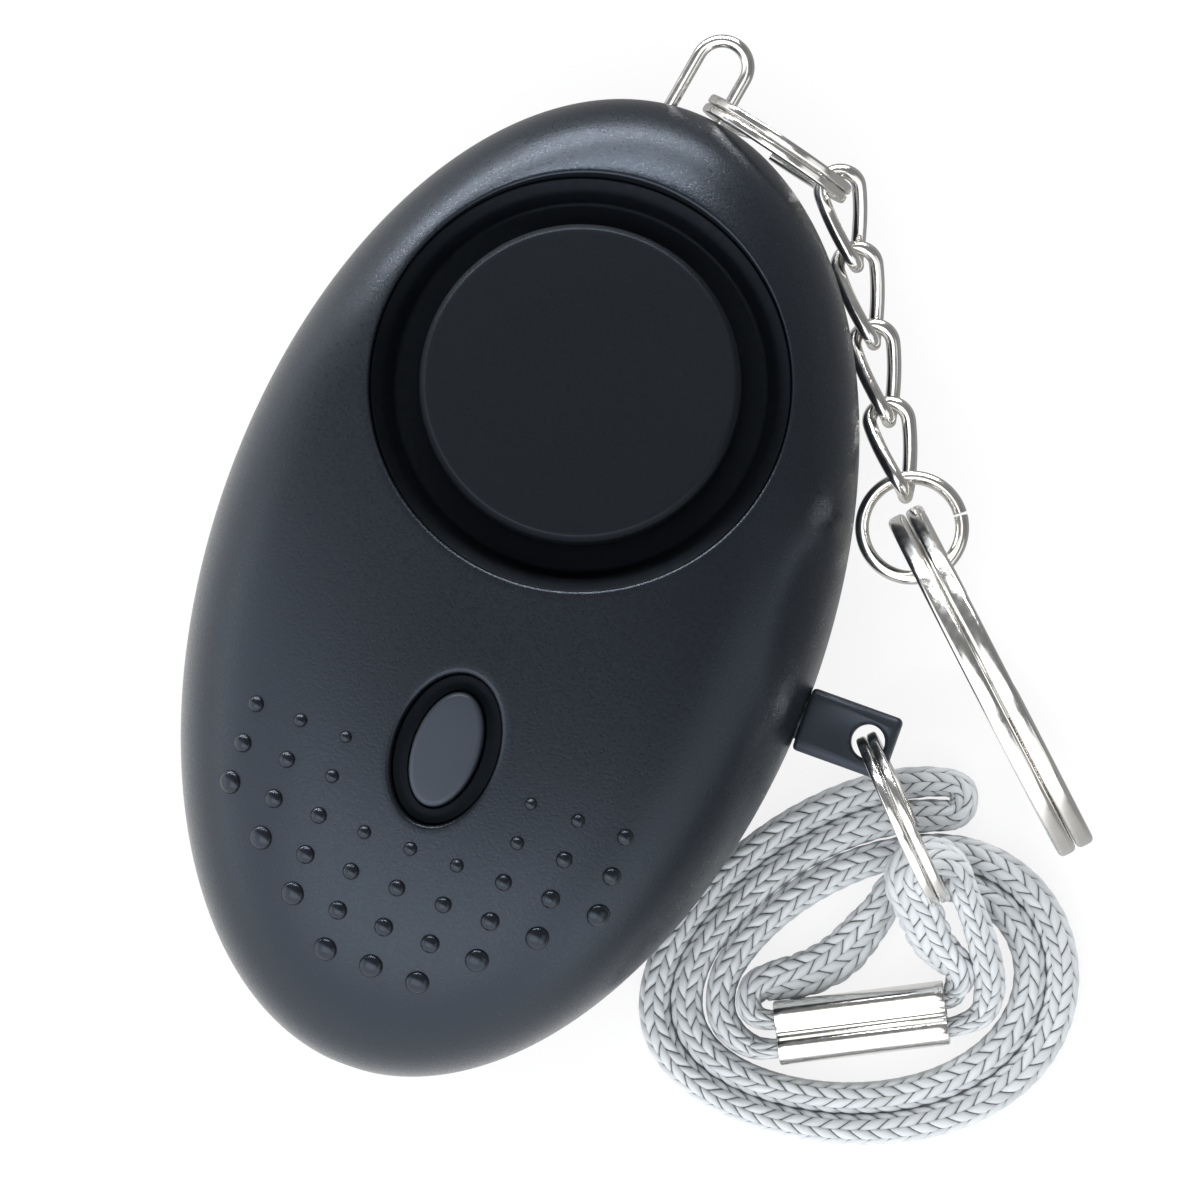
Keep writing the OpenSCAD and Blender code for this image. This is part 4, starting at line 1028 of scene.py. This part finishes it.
# Points of the strap's route from the pin's eye across and along the body, from the floor up, with the
# lean of its width
EYE_POINTS = ((10, -12.5, 2.2, 4), (10, -11.8, 2.7, 10), (9.3, -11.1, 3.4, 20), (7.9, -10.4, 4.5, 30),
              (6.3, -8.7, 6.2, 35), (5.2, -7.6, 7.2, 35), (4.9, -6.6, 7.9, 35), (5.4, -5.6, 8.1, 35),
              (6.5, -5.1, 7.9, 35), (7.5, -5.4, 7.2, 35), (8.5, -6.6, 6.2, 35), (10, -8.4, 5.1, 30),
              (11.3, -10.3, 4, 18), (12, -11.8, 2.9, 8), (12.1, -13.5, 2.2, 2))
OUTER_LEAD = ((-0.4, -20.3, 1.7), (-1.7, -20.1, 1.7), (-2.8, -19.4, 1.7), (-3.4, -18.4, 1.7))
INNER_LEAD = ((4.1, -9, 1.7), (3.4, -11.3, 1.7), (2.5, -13.3, 1.7), (0.9, -15, 1.8), (-0.7, -16, 1.8),
              (-1.5, -16.6, 1.9), (-1.8, -17.3, 1.9), (-1.7, -17.9, 2), (-1.2, -18.4, 2))
# How far the strap rolls about its line at those points, so that its flat face shows, in degrees
EYE_ROLL = (0, 12, 32, 52, 58, 48, 28, 10, 0, 0, 0, 0, 0, 0, 0)
INNER_ROLL = (20, 48, 62, 56, 40, 22, 8, 0, 0)
# Half the strap's thickness at the least, away from other turns and in the crimp, and how near a turn
# has to lie for the strap to swell out to it
LEAST_HALF, PLAIN_HALF, CRIMPED_HALF, TURN_REACH = 0.6, 0.92, 0.64, 2.7
STRAND_H, STRAND_REACH = 0.26, 0.56


def from_eye(x, y, z, *_):
    return np.array([EYE[0] + x, EYE[1] + y, z])


def in_crimp(lane, *places):
    return [CRIMP + x * CRIMP_ALONG + lane * LANE * CRIMP_ACROSS for x in places]


def coil_point(degrees, inset=0):
    """A point of the coil, which grows as it turns clockwise."""
    a = math.radians(degrees)
    grow = COIL_GROW * (200 - degrees) / 360 - inset
    x = (COIL_LONG + grow) * math.cos(a)
    y = (COIL_SHORT + grow) * math.sin(a) * (1 + COIL_EGG * math.cos(a))
    return COIL + x * flat_dir(33) + y * flat_dir(123)


def strap_route():
    """Points of the strap's middle line, the upward direction at each, and how far the crimp holds it and
    it rolls there."""
    end = CRIMP_L / 2
    a, b = coil_point(COIL_END), coil_point(COIL_END, STRAND_PITCH)
    middle, arm = (a + b) / 2, (a - b) / 2
    out = np.cross(arm, UP)
    out *= np.linalg.norm(arm) / np.linalg.norm(out)
    fold = [middle + math.cos(t) * arm + math.sin(t) * out for t in map(math.radians, range(30, 151, 30))]
    first = in_crimp(1, 0.3, end - 1, end + 0.5)
    second = in_crimp(-1, end + 0.5, end - 1, 1 - end, -end - 0.5)
    last = in_crimp(1, -end - 0.5, 1 - end, -0.3)
    wound = [coil_point(t) for t in range(155, COIL_END - 1, -15)] + fold
    wound += [coil_point(t, STRAND_PITCH) for t in range(COIL_END, 77, 15)]
    free = [from_eye(*p) for p in OUTER_LEAD] + wound + [from_eye(*p) for p in INNER_LEAD]
    points = first + [from_eye(*p) for p in EYE_POINTS] + second + free + last
    leans = [math.radians(p[3]) for p in EYE_POINTS]
    ups = [UP] * len(first) + [math.cos(a) * UP + math.sin(a) * PIN_RING_DIR for a in leans]
    ups += [UP] * (len(points) - len(ups))
    held = [1, 1, 0.5] + [0] * len(EYE_POINTS) + [0.5, 1, 1, 0.5] + [0] * len(free) + [0.5, 1, 1]
    bare = len(second) + len(free) - len(INNER_ROLL)
    roll = [0] * len(first) + list(EYE_ROLL) + [0] * bare + list(INNER_ROLL) + [0] * len(last)
    return np.array(points), np.array(ups), np.column_stack([held, np.radians(roll)])


def carry(at, run, values):
    """Rows of values at lengths along a run."""
    return np.stack([np.interp(at, run, column) for column in values.T], 1)


def smooth_line(points, others, step):
    """A smooth curve through points with even steps, and other values carried along it."""
    chord = np.concatenate([[0], np.cumsum(np.linalg.norm(np.diff(points, axis=0), axis=1) ** 0.5)])
    slope = np.gradient(points, chord, axis=0)
    dense = np.linspace(0, chord[-1], 6000)
    i = np.clip(np.searchsorted(chord, dense, side="right") - 1, 0, len(chord) - 2)
    h = (chord[i + 1] - chord[i])[:, None]
    f = ((dense - chord[i])[:, None]) / h
    line = ((2 * f ** 3 - 3 * f ** 2 + 1) * points[i] + (f ** 3 - 2 * f ** 2 + f) * h * slope[i]
            + (3 * f ** 2 - 2 * f ** 3) * points[i + 1] + (f ** 3 - f ** 2) * h * slope[i + 1])
    run = np.concatenate([[0], np.cumsum(np.linalg.norm(np.diff(line, axis=0), axis=1))])
    at = np.linspace(0, run[-1], int(round(run[-1] / step)) + 1)
    where = np.interp(at, run, dense)
    return at, carry(at, run, line), [carry(where, chord, values) for values in others]


def stadium(q, half_t, half_w):
    """Points and outward directions on the strap's rounded section, q round it from its top."""
    flat, arc = 2 * (half_w - half_t), np.pi * half_t
    c = half_w - half_t
    q = np.mod(q, 2 * (flat + arc))
    marks = np.array([arc / 2, arc / 2 + flat, 1.5 * arc + flat, 1.5 * arc + 2 * flat])
    part = np.searchsorted(marks, q, side="right")
    angle = np.select([part == 0, part == 1, part == 2, part == 3],
                      [np.pi / 2 - q / half_t, 0 * q, -(q - marks[1]) / half_t, 0 * q + np.pi],
                      np.pi - (q - marks[3]) / half_t)
    nx, ny = np.cos(angle), np.sin(angle)
    middle = np.select([part == 1, part == 2, part == 3],
                       [c - (q - marks[0]), -c + 0 * q, -c + (q - marks[2])], c)
    return half_t * nx, middle + half_t * ny, nx, ny


class ALARM_OT_strap(bpy.types.Operator):
    """Braid the wrist strap along its route and close the crimp sleeve on it"""

    bl_idname = "alarm.strap"
    bl_label = "Wrist Strap"

    def execute(self, context):
        crimp = self.crimp()
        points, ups, states = strap_route()
        at, line, (up, state) = smooth_line(points, [ups, states], 0.25)
        strap = self.braid(context.scene.alarm_sizes, at, line, up, *state.T)
        dress(strap, "braid", "strap", "strap_braid", "wrist_strap", crisp=60)
        return {"FINISHED"}

    def half_thickness(self, at, line, held, most):
        """Half the strap's thickness along it, which fills the room between turns, less in the crimp."""
        room = np.full(len(at), most)
        for i in range(len(at)):
            other = (np.abs(at - at[i]) > 6) & (np.abs(line[:, 2] - line[i, 2]) < 2.6)
            near = np.min(np.linalg.norm(line[other, :2] - line[i, :2], axis=1), initial=9.0)
            room[i] = np.clip(near / 2 + 0.06, LEAST_HALF, most) if near < TURN_REACH else PLAIN_HALF
        room = np.minimum(room, np.where(held > 0.3, CRIMPED_HALF, most))
        wide = np.array([room[max(i - 4, 0):i + 5].min() for i in range(len(at))])
        return np.convolve(np.pad(wide, 6, mode="edge"), np.full(13, 1 / 13), mode="valid")

    def braid(self, sizes, at, line, up, held, roll):
        half_t, half_w, pitch = mm(sizes.strap_t) / 2, mm(sizes.strap_w) / 2, mm(sizes.stitch)
        core_t, core_w = half_t - STRAND_H, half_w - STRAND_H
        ahead = np.gradient(line, axis=0)
        ahead /= np.linalg.norm(ahead, axis=1)[:, None]
        side = np.cross(up, ahead)
        side /= np.linalg.norm(side, axis=1)[:, None]
        rise = np.cross(ahead, side)
        cos, sin = np.cos(roll)[:, None], np.sin(roll)[:, None]
        side, rise = cos * side + sin * rise, cos * rise - sin * side
        thin = self.half_thickness(at, line, held, half_t) / half_t

        def place(s, q, lift):
            """Points of the strap at a length along it, round its section and above its core."""
            i = np.clip(s / (at[1] - at[0]), 0, len(at) - 1.001)
            lo = i.astype(int)
            f = (i - lo)[..., None]
            x, y, nx, ny = stadium(q, core_t, core_w)
            wide = ((x + lift * nx) * (thin[lo] + (i - lo) * (thin[lo + 1] - thin[lo])))[..., None]
            tall = (y + lift * ny)[..., None]
            middle, out, over = ((1 - f) * v[lo] + f * v[lo + 1] for v in (line, side, rise))
            return middle + wide * out + tall * over

        around = 2 * np.pi * core_t + 4 * (core_w - core_t)
        pace = around / sizes.columns
        # One strand's crossing: long steps, then across steps, with its ends tucked under the next column
        long_ = np.array([-1, -0.8, -0.45, 0, 0.45, 0.8, 1])
        wide_ = np.array([-1, -0.72, -0.3, 0.3, 0.72, 1])
        u, v = np.meshgrid(long_, wide_, indexing="ij")
        crest = (1 - np.abs(u) ** 3.2) * (1 - np.abs(v) ** 3.0) ** 0.8
        spots, tints, faces = [], [], []
        patch = np.array(loft_faces(len(long_), len(wide_), False))
        chance = np.random.default_rng(7)
        count = 0
        for column in range(sizes.columns):
            odd = column % 2
            lean = 1 if odd else -1
            for k in range(int((at[-1] - 1.0) / pitch)):
                s = (0.5 + (k + 0.5 + 0.5 * odd) * pitch + lean * u * pace * STRAND_REACH * 1.05
                     + v * pitch * 0.495)
                q = (column + 0.5) * pace + u * pace * STRAND_REACH
                spots.append(place(s, q, STRAND_H * crest - 0.03).reshape(-1, 3))
                tints.append(np.full(crest.size, 1 + 0.05 * chance.standard_normal()))
                faces += (patch + count).tolist()
                count += crest.size
        # Core under the strands, closed at both ends, painted dark as the shade in the gaps between them
        s, q = np.meshgrid(np.arange(0.05, at[-1] - 0.05, 0.5), np.linspace(0, around, 24, endpoint=False),
                           indexing="ij")
        rows, ring = s.shape
        faces += [[i + count for i in f] for f in loft_faces(rows, ring)]
        faces += [list(range(count, count + ring))[::-1], list(range(count + s.size - ring, count + s.size))]
        strands = len(spots)
        spots.append(place(s, q, 0.0 * q + 0.02).reshape(-1, 3))
        tints.append(np.ones(s.size))
        # Heights of the strands also paint shade in the braid's colour: their low edges darker, the core at
        # zero darkest
        marks = [crest.ravel()] * strands + [np.zeros(s.size)]
        uvs = [np.stack([(u.ravel() + 1) / 2, (v.ravel() + 1) / 2], 1)] * strands + [np.zeros((s.size, 2))]
        strap = new_object("wrist_strap_braid", np.concatenate(spots), faces)
        for label, values in (("strand_height", marks), ("strand_tint", tints)):
            attribute = strap.data.attributes.new(label, "FLOAT", "POINT")
            attribute.data.foreach_set("value", np.concatenate(values).astype(np.float32))
        corners = np.zeros(len(strap.data.loops), np.int32)
        strap.data.loops.foreach_get("vertex_index", corners)
        layer = strap.data.uv_layers.new(name="strand")
        layer.data.foreach_set("uv", np.concatenate(uvs)[corners].astype(np.float32).ravel())
        return strap

    def crimp(self):
        """A sleeve of sheet metal with a lobe over each run of the strap and a seam in the valley."""
        y = np.linspace(-1, 1, 61)
        y = np.sign(y) * (1 - (1 - np.abs(y)) ** 1.6) * CRIMP_HALF_W
        power = 2.6

        def lobes(y, half_w, half_h, valley):
            off = np.abs((np.abs(y) - half_w / 2) / (half_w / 2))
            lobe = np.maximum(0, 1 - off ** power) ** (1 / power) * half_h
            return np.maximum(lobe, np.where(np.abs(y) < half_w / 2, valley, 0))

        def ring(x, inset):
            half_w = CRIMP_HALF_W - inset
            ys = y * half_w / CRIMP_HALF_W
            top = lobes(ys, half_w, CRIMP_HALF_H - inset, 1.62 - inset)
            groove = 0.16 * np.exp(-(ys / 0.07) ** 2)
            loop = np.concatenate([np.column_stack([ys, top - groove]),
                                   np.column_stack([ys[::-1], -top[::-1]])[1:-1]])
            return CRIMP + x * CRIMP_ALONG + loop[:, :1] * CRIMP_ACROSS + loop[:, 1:] * UP

        end, edge, wall = CRIMP_L / 2, 0.1, CRIMP_WALL
        outside = [(-end, edge), (-end + 0.03, 0.03), (-end + edge, 0)]
        outside += [(x, 0) for x in np.linspace(-end + 0.6, end - 0.6, 8)]
        outside += [(end - edge, 0), (end - 0.03, 0.03), (end, edge)]
        inside = [(end, wall - 0.08), (end - 0.1, wall), (-end + 0.1, wall), (-end, wall - 0.08)]
        sleeve = loft("strap_crimp_sleeve", [ring(*each) for each in outside + inside], True)
        return dress(sleeve, "nickel", "strap", "nickel_plate", "strap_crimp")


class ALARM_OT_torch(bpy.types.Operator):
    """Build the torch lens in the narrow end"""

    bl_idname = "alarm.torch"
    bl_label = "Torch Lens"

    def execute(self, context):
        profile = rounded([(0, 0.0), (1.6, 0.14), (2.2, 0.45), (2.2, 2.7), (2.7, 2.7), (2.7, 3.3), (0, 3.3)],
                          0.2)
        lens = lathe("torch_lens_window", profile, along((0, -30.5, PART_Z), (0, 1, 0)), 96)
        dress(lens, "lens", "case", "clear_plastic", "torch_lens", crisp=35)
        return {"FINISHED"}


# Finishes of the nodes inside the case
INSIDE = {
    "inner": ("sounder_cup", "switch_body", "pin_guide"),
    "brass": ("sounder_plate", "cell_spring", "cell_contact", "fixed_contact", "moving_contact"),
    "ceramic": ("sounder_ceramic",), "red_wire": ("sounder_wire_red",),
    "black_wire": ("sounder_wire_black",), "plunger": ("switch_plunger",), "led": ("torch_led",),
    "board": ("circuit_board",), "screw": ("board_screws",), "chip": ("driver_chip",),
    "ferrite": ("step_up_coil",), "component": ("board_parts",),
    "cell": ("coin_cell_upper", "coin_cell_lower"),
}


class ALARM_OT_inside(bpy.types.Operator):
    """Give the pieces inside the case their finishes"""

    bl_idname = "alarm.inside"
    bl_label = "Inside"

    def execute(self, context):
        for look, nodes in INSIDE.items():
            for each in nodes:
                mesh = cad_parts[each].data
                mesh.materials.clear()
                mesh.materials.append(finish(look))
        return {"FINISHED"}


# Stage

CENTRE = Vector((4.9, 1.0, 10.0)) * MM
IMAGE_UP = Vector((-0.339, 0.941, 0.0))
CAMERA_MM, CAMERA_LEAN, LAMP_DISTANCE = 440, math.radians(4), 0.7
WHITE = (1, 1, 1, 1)
# Heading, degrees from overhead, sides in metres, and the level and its share of each softbox. The two
# strips draw the bright arcs at the bail end
LAMPS = {
    "tail_softbox": ((0, -1), 33, (0.8, 0.42), "tail", 1.0),
    "head_strip_high": ((-0.34, 0.94), 61, (0.66, 0.045), "head", 2.2),
    "head_strip_low": ((-0.5, 0.87), 85, (1.1, 0.07), "head", 1.5),
    "far_side_softbox": ((-1, -0.3), 80, (0.7, 0.2), "side", 0.3),
    "pin_side_softbox": ((1, -0.35), 62, (0.6, 0.4), "side", 0.4),
    "top_fill": ((0, -1), 5, (0.7, 0.7), "fill", 1.0),
    "metal_fill": ((-0.3, -1), 8, (0.5, 0.4), "metal", 1.0),
}


def aim(obj, place, target, up):
    """Turns a lamp or the camera to a point."""
    ahead = (target - place).normalized()
    right = ahead.cross(up).normalized()
    turn = Matrix((right, right.cross(ahead), -ahead)).transposed().to_4x4()
    obj.matrix_world = Matrix.Translation(place) @ turn


class ALARM_OT_stage(bpy.types.Operator):
    """Set the camera, the studio light and the white floor"""

    bl_idname = "alarm.stage"
    bl_label = "Stage"

    def execute(self, context):
        scene, stage = context.scene, context.scene.alarm_stage
        scene.view_settings.view_transform = "Standard"
        lens = bpy.data.cameras.new("camera")
        lens.sensor_width, lens.lens = 36.0, 216.3
        lens.clip_start, lens.clip_end = 0.02, 20.0
        camera = add("camera", lens)
        place = Vector((CAMERA_MM * math.tan(CAMERA_LEAN), 0, CAMERA_MM)) * MM
        aim(camera, CENTRE + place, CENTRE, IMAGE_UP)
        scene.camera = camera
        lamps = {name: self.softbox(name, *shape, getattr(stage, held) * share)
                 for name, (*shape, held, share) in LAMPS.items()}
        # The fill is kept out of the gloss so that the crown stays dark, and its twin lights the metal alone
        lamps["top_fill"].visible_glossy = False
        lamps["metal_fill"].light_linking.receiver_collection = bright_metal()
        self.floor()
        self.room(stage.tent, stage.shade)
        return {"FINISHED"}

    def softbox(self, name, heading, from_top, sides, bright):
        lamp = bpy.data.lights.new(name, "AREA")
        lamp.shape = "RECTANGLE"
        lamp.size, lamp.size_y = sides
        lamp.energy = 4 * sides[0] * sides[1] * bright
        made = add(name, lamp)
        up, tilt = Vector(UP), math.radians(from_top)
        way = math.sin(tilt) * Vector((*heading, 0)).normalized() + math.cos(tilt) * up
        aim(made, CENTRE + LAMP_DISTANCE * way, CENTRE, up)
        return made

    def floor(self):
        """White paper under the alarm, which shows white to the eye and in the metal and keeps a shadow."""
        far, low = 1500, -0.1
        floor = new_object("floor", [(-far, -far, low), (far, -far, low), (far, far, low), (-far, far, low)],
                           [[0, 1, 2, 3]])
        made, tree = material("white_paper")
        seen = node(tree, "ShaderNodeLightPath").outputs
        # In the gloss of the alarm the paper is bright on the torch's side and falls off beyond
        place = node(tree, "ShaderNodeTexCoord").outputs["Object"]
        side = node(tree, "ShaderNodeVectorMath", {0: place, 1: (-0.6, -0.8, 0)}, operation="DOT_PRODUCT")
        shine = node(tree, "ShaderNodeMapRange", {"Value": side.outputs["Value"], "From Min": -0.03,
                                                  "From Max": 0.03, "To Min": 0.3, "To Max": 1.3})
        paper = node(tree, "ShaderNodeBsdfDiffuse", {"Color": srgb("#ffffff")})
        glow = node(tree, "ShaderNodeEmission", {"Color": WHITE, "Strength": 1.0})
        gloss = node(tree, "ShaderNodeEmission", {"Color": WHITE, "Strength": shine})
        lit = node(tree, "ShaderNodeMixShader", {0: 0.84, 1: paper, 2: glow})
        plain = node(tree, "ShaderNodeMixShader", {0: seen["Is Camera Ray"], 1: paper, 2: lit})
        mixed = node(tree, "ShaderNodeMixShader", {0: seen["Is Glossy Ray"], 1: plain, 2: gloss})
        node(tree, "ShaderNodeOutputMaterial", {"Surface": mixed})
        floor.data.materials.append(made)

    def room(self, bright, dark):
        """White cloth on the torch's side, dark cloth overhead and beyond."""
        world = bpy.data.worlds.new("room")
        bpy.context.scene.world = world
        world.use_nodes = True
        tree = world.node_tree
        tree.nodes.clear()
        seen = node(tree, "ShaderNodeLightPath").outputs
        heading = node(tree, "ShaderNodeTexCoord").outputs["Generated"]
        side = node(tree, "ShaderNodeVectorMath", {0: heading, 1: (-0.22, -0.97, 0)},
                    operation="DOT_PRODUCT")
        strength = node(tree, "ShaderNodeMapRange", interpolation_type="SMOOTHSTEP",
                        inputs={"Value": side.outputs["Value"], "From Min": 0.08, "From Max": 0.36,
                                "To Min": dark, "To Max": bright})
        cloth = node(tree, "ShaderNodeBackground", {"Color": srgb("#f4f6f8"), "Strength": strength})
        white = node(tree, "ShaderNodeBackground", {"Color": WHITE, "Strength": 1.0})
        mixed = node(tree, "ShaderNodeMixShader", {0: seen["Is Camera Ray"], 1: cloth, 2: white})
        node(tree, "ShaderNodeOutputWorld", {"Surface": mixed})


STEPS = ("stage", "strap", "front_shell", "rear_shell", "screws", "speaker", "button", "pull_pin",
         "split_rings", "chain", "torch", "inside")


class ALARM_PT_panel(bpy.types.Panel):
    """Sizes, colours, light and pieces of the alarm"""

    bl_idname = "ALARM_PT_panel"
    bl_label = "Personal Safety Alarm"
    bl_space_type = "VIEW_3D"
    bl_region_type = "UI"
    bl_category = "Alarm"

    def draw(self, context):
        for group in (context.scene.alarm_sizes, context.scene.alarm_colours, context.scene.alarm_stage):
            box = self.layout.box()
            for name in group.__annotations__:
                box.prop(group, name)
        for step in STEPS:
            self.layout.operator(f"alarm.{step}")


CLASSES = (AlarmSizes, AlarmColours, AlarmStage, ALARM_OT_stage, ALARM_OT_strap, ALARM_OT_front_shell,
           ALARM_OT_rear_shell, ALARM_OT_screws, ALARM_OT_speaker, ALARM_OT_button, ALARM_OT_pull_pin,
           ALARM_OT_split_rings, ALARM_OT_chain, ALARM_OT_torch, ALARM_OT_inside, ALARM_PT_panel)


def register():
    for each in CLASSES:
        bpy.utils.register_class(each)
    bpy.types.Scene.alarm_sizes = PointerProperty(type=AlarmSizes)
    bpy.types.Scene.alarm_colours = PointerProperty(type=AlarmColours)
    bpy.types.Scene.alarm_stage = PointerProperty(type=AlarmStage)


def unregister():
    del bpy.types.Scene.alarm_sizes, bpy.types.Scene.alarm_colours, bpy.types.Scene.alarm_stage
    for each in reversed(CLASSES):
        bpy.utils.unregister_class(each)


def main():
    register()
    for step in STEPS:
        getattr(bpy.ops.alarm, step)()


if __name__ == "__main__":
    main()
